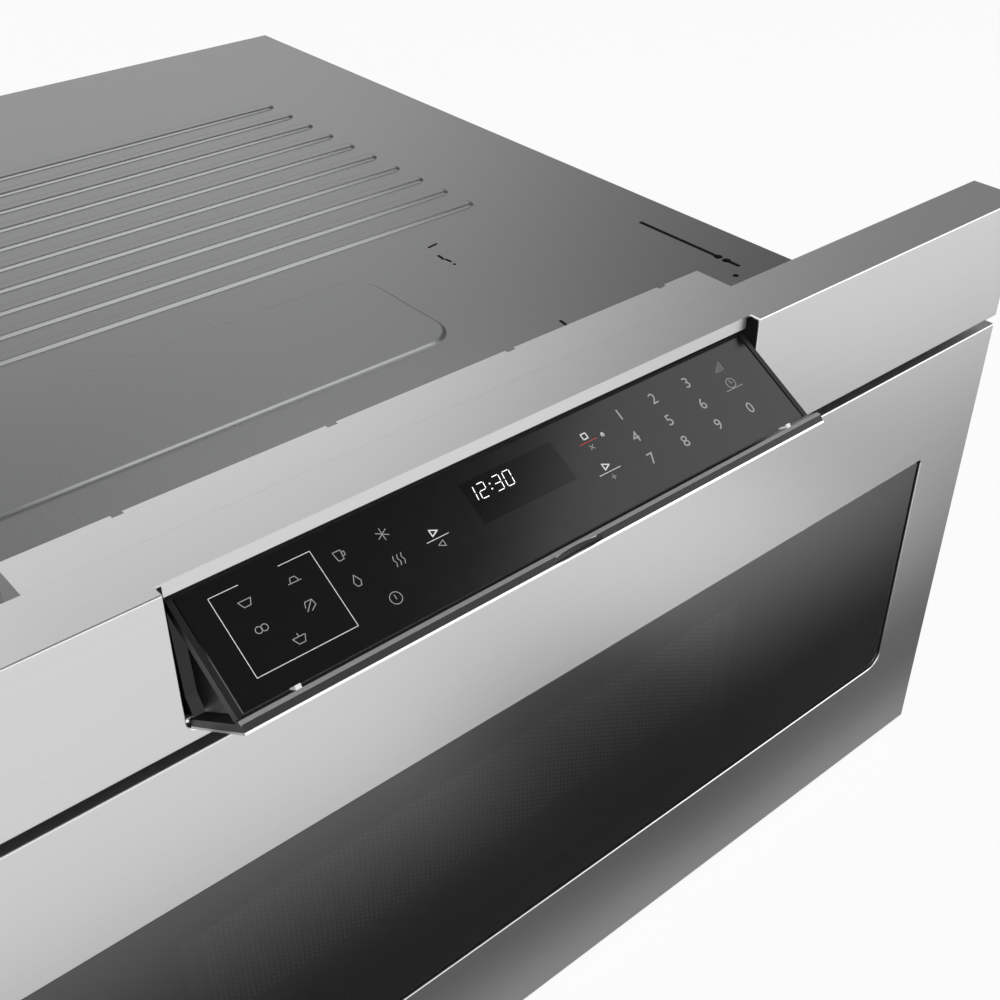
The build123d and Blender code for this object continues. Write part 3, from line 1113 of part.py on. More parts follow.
with BuildPart() as transformer_coils:
    coil_h = (CORE_H - 2 * CORE_LEG - 8) / 2
    for z in (SHEET + CORE_LEG + SLIP, SHEET + CORE_H - CORE_LEG - SLIP - coil_h):
        with BuildSketch(Plane.XY.offset(z)):
            with Locations((CORE_X, CORE_Y)):
                RectangleRounded(2 * CORE_LEG + 2 * window_w - 2 * SLIP, CORE_D + 2 * window_w, 6)
                Rectangle(2 * CORE_LEG + 2 * SLIP, CORE_D + 2 * SLIP, mode=Mode.SUBTRACT)
        extrude(amount=coil_h)
save(transformer_coils, "transformer_coils")

CAN_X = 60.0
CAN_Y = 215.0
CAN_W = 54.0
CAN_D = 34.0
CAN_H = 92.0
TAB_PITCH = 24.0
TAB_H = 10.0
with BuildPart() as hv_capacitor:
    with BuildSketch(Plane.XY.offset(SHEET)):
        with Locations((CAN_X, CAN_Y)):
            SlotOverall(CAN_W, CAN_D)
    extrude(amount=CAN_H)
    with Locations((CAN_X, CAN_Y, SHEET + CAN_H + TAB_H / 2)):
        with GridLocations(TAB_PITCH, 1, 2, 1):
            Box(TAB_PITCH / 4, TAB_H / 10, TAB_H)
save(hv_capacitor, "hv_capacitor")

SHROUD_SIDE = 2 * FAN_R + 14
SHROUD_Y0 = FAN_Y - FAN_D / 2 - 6
with BuildPart() as fan_shroud:
    block(FAN_X - SHROUD_SIDE / 2, FAN_X + SHROUD_SIDE / 2, SHROUD_Y0, BACK_Y - SHEET,
          FAN_Z - SHROUD_SIDE / 2, FAN_Z + SHROUD_SIDE / 2)
    with Locations((FAN_X, (SHROUD_Y0 + BACK_Y) / 2, FAN_Z)):
        Cylinder(FAN_R + 2, BACK_Y - SHROUD_Y0 + 2, rotation=(90, 0, 0), mode=Mode.SUBTRACT)
    block(FAN_X - SHROUD_SIDE / 2, FAN_X + SHROUD_SIDE / 2, SHROUD_Y0, SHROUD_Y0 + SHROUD_WALL, FAN_Z - 9,
          FAN_Z + 9)
    with Locations((FAN_X, SHROUD_Y0, FAN_Z)):
        Cylinder(FAN_SHAFT_R + 2, 4 * SHROUD_WALL, rotation=(90, 0, 0), mode=Mode.SUBTRACT)
save(fan_shroud, "fan_shroud")

FAN_MOTOR_L = 30.0
FAN_MOTOR_R = 24.0
WHEEL_D = FAN_D - 8
with BuildPart() as fan_wheel:
    with Locations((FAN_X, FAN_Y, FAN_Z)):
        Cylinder(FAN_HUB_R, WHEEL_D, rotation=(90, 0, 0))
    blade_l = FAN_R - FAN_HUB_R + 2
    for index in range(FAN_BLADES):
        with Locations(Location((FAN_X, FAN_Y, FAN_Z), (0, index * 360 / FAN_BLADES, 0))):
            with Locations(Location((FAN_R - blade_l / 2, 0, 0), (BLADE_PITCH, 0, 0))):
                Box(blade_l, BLADE_T, BLADE_CHORD)
    with Locations((FAN_X, (SHROUD_Y0 - 20 + FAN_Y) / 2, FAN_Z)):
        Cylinder(FAN_SHAFT_R, FAN_Y - SHROUD_Y0 + 20, rotation=(90, 0, 0))
save(fan_wheel, "fan_wheel")

with BuildPart() as fan_motor:
    with Locations((FAN_X, SHROUD_Y0 - FAN_MOTOR_L / 2, FAN_Z)):
        Cylinder(FAN_MOTOR_R, FAN_MOTOR_L, rotation=(90, 0, 0))
    with Locations((FAN_X, SHROUD_Y0 - 11, FAN_Z)):
        Cylinder(FAN_SHAFT_R + RUN_FIT, 22, rotation=(90, 0, 0), mode=Mode.SUBTRACT)
save(fan_motor, "fan_motor")

BOARD_X = SIDE_X - 10.0
RELAY_SIDE = 18.0
BOARD_Y0 = RAIL_Y1 + 8.0
BOARD_L = 88.0
BOARD_Z0 = 130.0
BOARD_H = 120.0
with BuildPart() as relay_board:
    block(BOARD_X, BOARD_X + BOARD_T, BOARD_Y0, BOARD_Y0 + BOARD_L, BOARD_Z0, BOARD_Z0 + BOARD_H)
    with Locations((BOARD_X - RELAY_SIDE / 2, BOARD_Y0 + BOARD_L / 2, BOARD_Z0 + BOARD_H / 2)):
        Box(RELAY_SIDE, 30, 46)
    for y in (BOARD_Y0 + 14, BOARD_Y0 + BOARD_L - 14):
        for row in range(3):
            with Locations((BOARD_X - RELAY_SIDE / 2, y, BOARD_Z0 + 22 + row * 38)):
                Box(RELAY_SIDE, 18, 24)
    for y in (BOARD_Y0 + 5, BOARD_Y0 + BOARD_L - 5):
        for z in (BOARD_Z0 + 5, BOARD_Z0 + BOARD_H - 5):
            with Locations(((BOARD_X + BOARD_T + SIDE_X) / 2, y, z)):
                Cylinder(3, SIDE_X - BOARD_X - BOARD_T, rotation=(0, 90, 0))
save(relay_board, "relay_board")

FILTER_W = 80.0
FILTER_D = 52.0
FILTER_Y = BACK_Y - 61.0
FILTER_STAND = 13.0
CHOKE_COIL_R = 14.0
CHOKE_COIL_H = 16.0
with BuildPart() as filter_board:
    filter_x = GLAND_X + 5.0
    filter_z = SHEET + FILTER_STAND
    with Locations((filter_x, FILTER_Y, filter_z + BOARD_T / 2)):
        Box(FILTER_W, FILTER_D, BOARD_T)
    with Locations((filter_x - FILTER_W / 5, FILTER_Y, filter_z + BOARD_T + CHOKE_COIL_H / 2)):
        Cylinder(CHOKE_COIL_R, CHOKE_COIL_H)
    with Locations((filter_x + FILTER_W / 4, FILTER_Y, filter_z + BOARD_T + CHOKE_COIL_H / 2)):
        Box(FILTER_W / 4, FILTER_D / 2, CHOKE_COIL_H)
    with Locations((filter_x, FILTER_Y, SHEET + FILTER_STAND / 2)):
        with GridLocations(FILTER_W - 10, FILTER_D - 10, 2, 2):
            Cylinder(3, FILTER_STAND)
save(filter_board, "filter_board")

with BuildPart() as cord_gland:
    with Locations((GLAND_X, BACK_Y - SHEET / 2, GLAND_Z)):
        Cylinder(GLAND_R, GLAND_L, rotation=(90, 0, 0))
    for y in (BACK_Y + 1.25, BACK_Y - SHEET - 1.25):
        with Locations((GLAND_X, y, GLAND_Z)):
            Cylinder(GLAND_FLANGE_R, 2.5, rotation=(90, 0, 0))
    with Locations((GLAND_X, BACK_Y - SHEET / 2, GLAND_Z)):
        Cylinder(GLAND_BORE_R, GLAND_L, rotation=(90, 0, 0), mode=Mode.SUBTRACT)
save(cord_gland, "cord_gland")

# ================================================================ screws
with BuildPart() as chassis_screws:
    side_screws(SCREW_R, SCREW_L, Mode.ADD)
    frame_screws_at(SCREW_R, CABINET_Y - SHEET - SKIN, CABINET_Y, Mode.ADD)
    frame_screws_at(SCREW_HEAD_R, CABINET_Y - SHEET - SKIN - SCREW_HEAD_T, CABINET_Y - SHEET - SKIN, Mode.ADD)
    side_screws(SCREW_HEAD_R, -SCREW_HEAD_T, Mode.ADD)
save(chassis_screws, "chassis_screws")
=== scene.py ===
"""Microwave drawer: finishes, printed marks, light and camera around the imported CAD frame.

Metres, in the CAD frame: +X right seen from the front, +Y towards the back, +Z up.
"""
import math

import bpy
from mathutils import Matrix, Vector


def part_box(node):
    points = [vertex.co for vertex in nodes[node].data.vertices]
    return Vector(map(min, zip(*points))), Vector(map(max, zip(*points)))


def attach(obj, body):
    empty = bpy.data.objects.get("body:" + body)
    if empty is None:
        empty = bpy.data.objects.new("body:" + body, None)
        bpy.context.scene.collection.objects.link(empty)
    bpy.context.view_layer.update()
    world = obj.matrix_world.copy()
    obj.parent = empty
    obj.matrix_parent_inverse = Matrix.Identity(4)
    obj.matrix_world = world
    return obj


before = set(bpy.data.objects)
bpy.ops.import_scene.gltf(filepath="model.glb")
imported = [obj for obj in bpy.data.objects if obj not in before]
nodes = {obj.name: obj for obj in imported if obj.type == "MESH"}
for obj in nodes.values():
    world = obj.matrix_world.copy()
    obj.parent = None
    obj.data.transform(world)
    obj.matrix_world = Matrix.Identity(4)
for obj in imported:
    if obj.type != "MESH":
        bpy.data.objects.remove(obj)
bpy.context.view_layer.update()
MM = 0.001
X_AXIS, Y_AXIS, Z_AXIS = (1.0, 0.0, 0.0), (0.0, 1.0, 0.0), (0.0, 0.0, 1.0)
TO_FRONT = (0.0, -1.0, 0.0)

# ------------------------------------------------------------------ camera of the photograph
CAMERA_AT = (-0.30595, -0.68471, 0.70259)
CAMERA_ELEVATION = 35.331           # degrees, looking down
CAMERA_AZIMUTH = -40.298            # degrees, turned right from looking straight at the back
CAMERA_LENS = 49.03                 # millimetres, like the sensor's width
CAMERA_SENSOR = 36
CAMERA_SHIFT = (0.002, -0.0035)

# ------------------------------------------------------------------ touch glass, millimetres
GLASS_SLOPE = math.radians(29.8)    # fall of the open panel's glass towards the front
GLASS_THICK = 2.5
INK_LIFT = 0.05                     # from the glass to the middle of the print
INK_THICK = 0.03
STROKE = 0.32
RULE = 0.28

# ------------------------------------------------------------------ relief and grain of the finishes
BRUSH_RELIEF = 0.000012             # depth of the brushed lines
PAINT_RELIEF = 0.000006             # depth of the paint's unevenness
GRAIN_ALONG = 9.0                   # swings of the brushed grain per metre along X
GRAIN_ACROSS = 2600.0               # and across it


# ================================================================== shader helpers
def math_node(tree, operation, first, second=0.0):
    """A math node fed by sockets or numbers; returns its output."""
    node = tree.nodes.new("ShaderNodeMath")
    node.operation = operation
    for slot, value in zip(node.inputs, (first, second)):
        if isinstance(value, (int, float)):
            slot.default_value = value
        else:
            tree.links.new(value, slot)
    return node.outputs[0]


def product(tree, *factors):
    """Several numbers multiplied, in their order; returns its output."""
    total = factors[0]
    for factor in factors[1:]:
        total = math_node(tree, "MULTIPLY", total, factor)
    return total


def ramp(tree, amount, low, high, at_low, at_high):
    """A smooth change from one number to another; returns its output."""
    node = tree.nodes.new("ShaderNodeMapRange")
    node.interpolation_type = "SMOOTHSTEP"
    tree.links.new(amount, node.inputs["Value"])
    for label, value in (("From Min", low), ("From Max", high), ("To Min", at_low), ("To Max", at_high)):
        node.inputs[label].default_value = value
    return node.outputs["Result"]


def measure(tree, operation, first, second):
    """A dot product or distance between a socket and a fixed vector; returns its output."""
    node = tree.nodes.new("ShaderNodeVectorMath")
    node.operation = operation
    tree.links.new(first, node.inputs[0])
    node.inputs[1].default_value = second
    return node.outputs["Value"]


def tint_node(tree, amount, low, high):
    """A colour between two fixed colours; returns its output."""
    node = tree.nodes.new("ShaderNodeMix")
    node.data_type = "RGBA"
    tree.links.new(amount, node.inputs["Factor"])
    for label, color in (("A", low), ("B", high)):
        socket = [s for s in node.inputs if s.name == label and s.type == "RGBA"][0]
        socket.default_value = (*color, 1)
    return [s for s in node.outputs if s.type == "RGBA"][0]


def scaled_color(tree, color, amount):
    """A colour times a number; returns its output."""
    node = tree.nodes.new("ShaderNodeVectorMath")
    node.operation = "SCALE"
    tree.links.new(color, node.inputs[0])
    tree.links.new(amount, node.inputs["Scale"])
    return node.outputs[0]


def object_place(tree):
    """Where a point is in its piece's own mesh, which is its place in the CAD frame."""
    return tree.nodes.new("ShaderNodeTexCoord").outputs["Object"]


# ================================================================== shader groups
def new_group(name, color, rough, **own):
    """An empty shader group with its sockets; returns the group, its in node and its out node."""
    group = bpy.data.node_groups.new(name, "ShaderNodeTree")
    sockets = [("Color", "NodeSocketColor", (*color, 1)), ("Roughness", "NodeSocketFloat", rough)]
    sockets += [(label, "NodeSocketFloat", value) for label, value in own.items()]
    for label, kind, default in sockets:
        socket = group.interface.new_socket(name=label, in_out="INPUT", socket_type=kind)
        socket.default_value = default
    for label, kind in (("Color", "NodeSocketColor"), ("Roughness", "NodeSocketFloat"),
                        ("Height", "NodeSocketFloat")):
        group.interface.new_socket(name=label, in_out="OUTPUT", socket_type=kind)
    return group, group.nodes.new("NodeGroupInput"), group.nodes.new("NodeGroupOutput")


def vary(group, inside, outside, pattern, tinting=1.0):
    """Let a pattern from 0 to 1 swing the group's roughness, and its colour by tinting times as much."""
    swing = math_node(group, "SUBTRACT", pattern, 0.5)
    amount = math_node(group, "MULTIPLY", swing, inside.outputs["Strength"])
    rough = math_node(group, "ADD", inside.outputs["Roughness"], amount)
    shade = math_node(group, "ADD", math_node(group, "MULTIPLY", amount, tinting), 1.0)
    group.links.new(rough, outside.inputs["Roughness"])
    group.links.new(scaled_color(group, inside.outputs["Color"], shade), outside.inputs["Color"])
    group.links.new(pattern, outside.inputs["Height"])


def grain_group():
    """Fine lines along X, as a brush leaves on sheet steel."""
    group, inside, outside = new_group("BrushedGrain", (0.7, 0.7, 0.7), 0.3,
                                       Fineness=GRAIN_ACROSS, Strength=0.05)
    stretch = group.nodes.new("ShaderNodeCombineXYZ")
    stretch.inputs[0].default_value = GRAIN_ALONG
    group.links.new(inside.outputs["Fineness"], stretch.inputs[1])
    group.links.new(inside.outputs["Fineness"], stretch.inputs[2])
    scaled = group.nodes.new("ShaderNodeVectorMath")
    scaled.operation = "MULTIPLY"
    group.links.new(object_place(group), scaled.inputs[0])
    group.links.new(stretch.outputs[0], scaled.inputs[1])
    lines = group.nodes.new("ShaderNodeTexNoise")
    lines.inputs["Scale"].default_value = 1.0
    lines.inputs["Detail"].default_value = 3.0
    group.links.new(scaled.outputs[0], lines.inputs["Vector"])
    vary(group, inside, outside, lines.outputs["Fac"], tinting=1.2)
    return group


def speckle_group():
    """Slight unevenness of paint and moulded plastic."""
    group, inside, outside = new_group("FineSpeckle", (0.1, 0.1, 0.1), 0.5, Scale=900.0, Strength=0.1)
    grains = group.nodes.new("ShaderNodeTexNoise")
    grains.inputs["Detail"].default_value = 2.0
    group.links.new(object_place(group), grains.inputs["Vector"])
    group.links.new(inside.outputs["Scale"], grains.inputs["Scale"])
    vary(group, inside, outside, grains.outputs["Fac"])
    return group


def flowers_group():
    """Crystal flowers of zinc on sheet: flat cells, each a little lighter or darker than the next."""
    group, inside, outside = new_group("ZincFlowers", (0.4, 0.4, 0.4), 0.4, Size=90.0, Strength=0.25)
    cells = group.nodes.new("ShaderNodeTexVoronoi")
    group.links.new(object_place(group), cells.inputs["Vector"])
    group.links.new(inside.outputs["Size"], cells.inputs["Scale"])
    parts = group.nodes.new("ShaderNodeSeparateXYZ")
    group.links.new(cells.outputs["Color"], parts.inputs[0])
    vary(group, inside, outside, parts.outputs["X"])
    return group


GRAIN = grain_group()
SPECKLE = speckle_group()
FLOWERS = flowers_group()


def plain(name, color, rough, metal=0.0, **more):
    """A Principled material with constant values; returns the material and its shader."""
    material = bpy.data.materials.new(name)
    material.use_nodes = True
    shader = material.node_tree.nodes["Principled BSDF"]
    shader.inputs["Base Color"].default_value = (*color, 1)
    shader.inputs["Roughness"].default_value = rough
    shader.inputs["Metallic"].default_value = metal
    for label, value in more.items():
        shader.inputs[label.replace("_", " ")].default_value = value
    return material, shader


def textured(name, group, color, rough, metal, relief_depth, values, **more):
    """A Principled material whose colour, roughness and relief come from one of the groups."""
    material, shader = plain(name, color, rough, metal, **more)
    tree = material.node_tree
    surface = tree.nodes.new("ShaderNodeGroup")
    surface.node_tree = group
    surface.inputs["Color"].default_value = (*color, 1)
    surface.inputs["Roughness"].default_value = rough
    for label, value in values.items():
        surface.inputs[label].default_value = value
    tree.links.new(surface.outputs["Color"], shader.inputs["Base Color"])
    tree.links.new(surface.outputs["Roughness"], shader.inputs["Roughness"])
    if relief_depth:
        relief = tree.nodes.new("ShaderNodeBump")
        relief.inputs["Strength"].default_value = 1.0
        relief.inputs["Distance"].default_value = relief_depth
        tree.links.new(surface.outputs["Height"], relief.inputs["Height"])
        tree.links.new(relief.outputs["Normal"], shader.inputs["Normal"])
    return material


def steel(name, color, rough, strength=0.08):
    """Brushed sheet steel."""
    return textured(name, GRAIN, color, rough, 1.0, BRUSH_RELIEF, {"Strength": strength})


def paint(name, color, rough, metal=0.0, strength=0.12, scale=900.0, relief_depth=PAINT_RELIEF, **more):
    """Painted sheet, moulded plastic or cast metal."""
    values = {"Strength": strength, "Scale": scale}
    return textured(name, SPECKLE, color, rough, metal, relief_depth, values, **more)


def ink(name, color, **more):
    """Flat print on the glass."""
    return paint(name, color, 0.5, relief_depth=0.0, **more)


def polished(name, color, rough, metal=0.0, **more):
    """Glass and polished metal: smooth, with faint wiping marks in its gloss."""
    return textured(name, SPECKLE, color, rough, metal, 0.0, {"Strength": 0.05, "Scale": 140.0}, **more)


def zinc_sheet(name, color, rough):
    """Zinc coated sheet with its crystal flowers."""
    return textured(name, FLOWERS, color, rough, 1.0, 0.0, {"Size": 90.0, "Strength": 0.16})


# ================================================================== window screen
SCREEN_PITCH = 3.1 * MM                                    # from dot to dot up a column
SCREEN_STEP = SCREEN_PITCH * math.sin(math.radians(60))    # from column to column
SCREEN_DOT = 0.95 * MM                                     # radius of a dot
SCREEN_W = 331.0 * MM                                      # the dotted field and the height where it starts
SCREEN_H = 66.3 * MM
SCREEN_Z0 = 145.4 * MM
SCREEN_FACE = 2 * MM                                       # only the foremost part of the sheet has dots
WHOLE_PITCHES = 500                                        # keeps the counted pitches above zero


def perforated(name, sheet, dot):
    """Black sheet whose punched holes show as pale dots, in staggered columns in the dished field."""
    material, shader = plain(name, sheet, 0.45)
    tree = material.node_tree
    parts = tree.nodes.new("ShaderNodeSeparateXYZ")
    tree.links.new(object_place(tree), parts.inputs[0])
    x, y, z = (parts.outputs[axis] for axis in "XYZ")

    def from_dot(along, pitch, offset):
        """Distance along one axis from the middle of the nearest dot."""
        count = math_node(tree, "ADD", math_node(tree, "DIVIDE", along, pitch), offset + WHOLE_PITCHES)
        share = math_node(tree, "SUBTRACT", math_node(tree, "FRACT", count), 0.5)
        return math_node(tree, "MULTIPLY", share, pitch)

    masks = []
    for offset in (0.0, 0.5):
        dx = from_dot(x, 2 * SCREEN_STEP, offset)
        dz = from_dot(z, SCREEN_PITCH, offset)
        reach = math_node(tree, "ADD", product(tree, dx, dx), product(tree, dz, dz))
        masks.append(math_node(tree, "LESS_THAN", reach, SCREEN_DOT ** 2))
    dots = math_node(tree, "MAXIMUM", *masks)
    over_middle = math_node(tree, "SUBTRACT", z, SCREEN_Z0 + SCREEN_H / 2)
    inside_x = math_node(tree, "LESS_THAN", math_node(tree, "ABSOLUTE", x), SCREEN_W / 2)
    inside_z = math_node(tree, "LESS_THAN", math_node(tree, "ABSOLUTE", over_middle), SCREEN_H / 2)
    at_front = math_node(tree, "LESS_THAN", y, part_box("mesh_panel")[0].y + SCREEN_FACE)
    shown = product(tree, dots, product(tree, inside_x, inside_z, at_front))
    tree.links.new(tint_node(tree, shown, sheet, dot), shader.inputs["Base Color"])
    return material


# ================================================================== finishes
stainless = steel("brushed stainless", (0.63, 0.63, 0.635), 0.32)
galvanised = zinc_sheet("zinc coated sheet", (0.42, 0.43, 0.44), 0.42)
chassis_paint = paint("dark grey coated sheet", (0.138, 0.140, 0.141), 0.30, 0.9, 0.1)
housing_paint = paint("dark housing", (0.035, 0.035, 0.04), 0.5)
panel_plastic = paint("black moulded plastic", (0.010, 0.010, 0.011), 0.42, Specular_IOR_Level=0.3)
trim_plastic = paint("satin grey trim", (0.60, 0.60, 0.61), 0.40, 0.85)
touch_gloss = polished("black touch glass", (0.005, 0.005, 0.006), 0.17)
window_tint = polished("dark window glass", (0.006, 0.0065, 0.007), 0.06,
                       Alpha=0.7, IOR=1.75, Coat_Weight=0.8)
clear_pane = polished("clear pane", (0.8, 0.85, 0.85), 0.04, Alpha=0.25)
tray_glass = polished("glass ceramic", (0.02, 0.02, 0.024), 0.1)
frame_black = paint("black frame", (0.010, 0.010, 0.011), 0.4)
screen = perforated("perforated black sheet", (0.020, 0.020, 0.021), (0.75, 0.75, 0.75))
enamel = paint("light grey enamel", (0.42, 0.43, 0.44), 0.3)
choke_plastic = paint("black choke plastic", (0.03, 0.03, 0.03), 0.5)
rail_zinc = steel("bright zinc", (0.60, 0.61, 0.62), 0.27, 0.1)
ball_steel = polished("polished steel", (0.70, 0.70, 0.71), 0.1, 1.0)
acetal = paint("natural acetal", (0.75, 0.73, 0.66), 0.4)
motor_can = paint("motor can", (0.30, 0.31, 0.33), 0.4, 0.6)
board = paint("circuit board", (0.02, 0.14, 0.06), 0.35)
laminations = paint("varnished laminations", (0.09, 0.09, 0.10), 0.45, 0.4)
copper = paint("enamelled copper", (0.50, 0.21, 0.08), 0.35, 0.8)
aluminium = steel("plain aluminium", (0.75, 0.76, 0.77), 0.32, 0.1)
white_plastic = paint("white plastic", (0.80, 0.80, 0.79), 0.35)
black_plastic = paint("black plastic", (0.02, 0.02, 0.022), 0.45)
mica = paint("mica sheet", (0.58, 0.52, 0.38), 0.5, scale=300.0, strength=0.3)
lamp_glass = polished("lamp glass", (0.9, 0.88, 0.8), 0.1, Alpha=0.6)
rubber = paint("black rubber", (0.015, 0.015, 0.015), 0.7)
ink_grey = ink("grey print", (0.36, 0.36, 0.36))
ink_white = ink("white print", (0.80, 0.80, 0.80))
ink_red = ink("red print", (0.62, 0.03, 0.03))
lit_white = ink("lit display", (0.9, 0.95, 0.95), Emission_Color=(1, 1, 1, 1), Emission_Strength=0.8)
display_black = polished("display window", (0.0015, 0.0015, 0.002), 0.17, IOR=1.43)

FINISHES = {
    stainless: ("front_frame", "housing_cap", "drawer_skin", "panel_fascia"),
    galvanised: ("base_pan", "side_panels", "back_panel", "flange_stiles", "front_bulkhead",
                 "rail_brackets", "rear_bulkhead", "cavity_roof", "motor_bracket"),
    chassis_paint: ("top_cover",),
    housing_paint: ("control_housing",),
    panel_plastic: ("panel_body", "panel_cover"),
    trim_plastic: ("lip_trim",),
    touch_gloss: ("touch_glass",),
    window_tint: ("window_glass",),
    clear_pane: ("inner_window",),
    tray_glass: ("glass_tray",),
    frame_black: ("glass_frame",),
    screen: ("mesh_panel",),
    enamel: ("door_liner", "tub_floor", "tub_sides", "tub_back"),
    choke_plastic: ("door_choke",),
    rail_zinc: ("outer_rails", "middle_rails", "inner_rails", "chassis_screws", "hinge_pins"),
    ball_steel: ("outer_ball_cages", "inner_ball_cages"),
    acetal: ("rack", "pinion"),
    motor_can: ("gear_motor", "stirrer_motor", "fan_motor", "hv_capacitor"),
    board: ("relay_board", "filter_board", "touch_board"),
    laminations: ("transformer_core",),
    copper: ("transformer_coils",),
    aluminium: ("waveguide", "magnetron", "stirrer_blade"),
    white_plastic: ("glass_clips", "latch_strikers"),
    black_plastic: ("fan_wheel", "fan_shroud", "interlock_switches", "display_module", "humidity_sensor"),
    mica: ("stirrer_cover",),
    lamp_glass: ("oven_lamp",),
    rubber: ("cord_gland",),
}
for finish, names in FINISHES.items():
    for name in names:
        nodes[name].data.materials.clear()
        nodes[name].data.materials.append(finish)
# The brushed steel around the open panel shows the bright room, not the panel's dark underside.
for name in ("touch_glass", "panel_body", "panel_cover", "panel_fascia", "lip_trim", "glass_clips",
             "display_module", "touch_board"):
    nodes[name].visible_glossy = False

# ================================================================== printed marks on the touch glass
glass_low, glass_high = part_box("touch_glass")
glass_run = glass_high.y - glass_low.y - GLASS_THICK * MM * math.sin(GLASS_SLOPE)
glass_length = glass_run / math.cos(GLASS_SLOPE)
front_edge = Vector((0, glass_low.y, glass_high.z - glass_length * math.sin(GLASS_SLOPE)))
along_axis = Vector((0, math.cos(GLASS_SLOPE), math.sin(GLASS_SLOPE)))
glass_normal = Vector((0, -math.sin(GLASS_SLOPE), math.cos(GLASS_SLOPE)))
# Local X runs along the panel, Y up the glass from its front edge, Z out of it, in millimetres.
GLASS = Matrix.Translation(front_edge) @ Matrix((
    (MM, 0, 0, 0),
    (0, along_axis.y * MM, glass_normal.y * MM, 0),
    (0, along_axis.z * MM, glass_normal.z * MM, 0),
    (0, 0, 0, 1)))


def print_on_glass(piece, finish, name):
    """Lay a flat drawing, in millimetres on the glass, on the control panel."""
    piece.data.transform(GLASS @ Matrix.Translation((0, 0, INK_LIFT)) @ piece.matrix_world)
    piece.matrix_world = Matrix.Identity(4)
    piece.data.update()
    piece.name = name
    piece.data.name = name
    piece.data.materials.clear()
    piece.data.materials.append(finish)
    piece.visible_glossy = False
    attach(piece, "control_panel")


def join(pieces):
    """Several pieces as one mesh."""
    bpy.ops.object.select_all(action="DESELECT")
    for piece in pieces:
        piece.select_set(True)
    bpy.context.view_layer.objects.active = pieces[0]
    bpy.ops.object.join()
    return bpy.context.object


def bar(centre, size, turn=0.0, lift=0.0):
    """A flat printed bar of this length and width."""
    bpy.ops.mesh.primitive_cube_add(size=1, location=(*centre, lift))
    piece = bpy.context.object
    piece.scale = (*size, INK_THICK)
    piece.rotation_euler.z = turn
    bpy.ops.object.transform_apply(location=True, rotation=True, scale=True)
    return piece


def stroke(start, end, width=STROKE):
    """A straight printed line between two points."""
    run = Vector((end[0] - start[0], end[1] - start[1]))
    middle = ((start[0] + end[0]) / 2, (start[1] + end[1]) / 2)
    return bar(middle, (run.length + width, width), math.atan2(run.y, run.x))


def ring(centre, radius, width=STROKE):
    """A printed circle."""
    bpy.ops.mesh.primitive_torus_add(location=(*centre, 0), major_radius=radius, minor_radius=width / 2,
                                     major_segments=32, minor_segments=6)
    circle = bpy.context.object
    circle.scale.z = INK_THICK / width
    bpy.ops.object.transform_apply(location=True, rotation=True, scale=True)
    return circle


def drawing(centre, size, lines=(), circles=(), width=STROKE):
    """A small sign made of lines and circles given in a box from -1 to 1."""
    cx, cy = centre
    pieces = [stroke((cx + x0 * size, cy + y0 * size), (cx + x1 * size, cy + y1 * size), width)
              for x0, y0, x1, y1 in lines]
    pieces += [ring((cx + x * size, cy + y * size), r * size, width) for x, y, r in circles]
    return join(pieces)


def chain(*points):
    """The lines from each point to the next."""
    return [(*a, *b) for a, b in zip(points, points[1:])]


def closed(*points):
    """The lines of a closed outline."""
    return chain(*points, points[0])


# ------------------------------------------------------------------ figures of the keys
DIGIT_H = 5.4
FONT_SHARE = 0.69                   # height of a figure, as a share of the font's size
KEY_COLUMNS = (64.2, 85.3, 106.9)
KEY_ROWS = (39.2, 26.8, 14.8)
ZERO_AT = (128.6, 15.0)


def key_figure(number, centre):
    """The printed figure of a number key."""
    bpy.ops.object.text_add(location=(*centre, 0))
    figure = bpy.context.object
    figure.data.body = str(number)
    figure.data.size = DIGIT_H / FONT_SHARE
    figure.data.align_x = "CENTER"
    figure.data.align_y = "CENTER"
    figure.data.resolution_u = 6
    bpy.ops.object.convert(target="MESH")
    bpy.ops.object.transform_apply(location=True, rotation=True, scale=True)
    print_on_glass(bpy.context.object, ink_grey, f"key_figure_{number}")


for number in range(1, 10):
    key_figure(number, (KEY_COLUMNS[(number - 1) % 3], KEY_ROWS[(number - 1) // 3]))
key_figure(0, ZERO_AT)

# ------------------------------------------------------------------ box round the automatic programmes
LEFT, BOTTOM, RIGHT, TOP = -140.2, 9.0, -96.2, 43.7
BOX_GAP = (-127.7, -110.2)          # gap in its upper line
BOX_LINES = (
    ((LEFT, BOTTOM), (RIGHT, BOTTOM)),
    ((LEFT, BOTTOM), (LEFT, TOP)),
    ((RIGHT, BOTTOM), (RIGHT, TOP)),
    ((LEFT, TOP), (BOX_GAP[0], TOP)),
    ((BOX_GAP[1], TOP), (RIGHT, TOP)),
)
print_on_glass(join([stroke(start, end, RULE) for start, end in BOX_LINES]), ink_white, "programme_box")

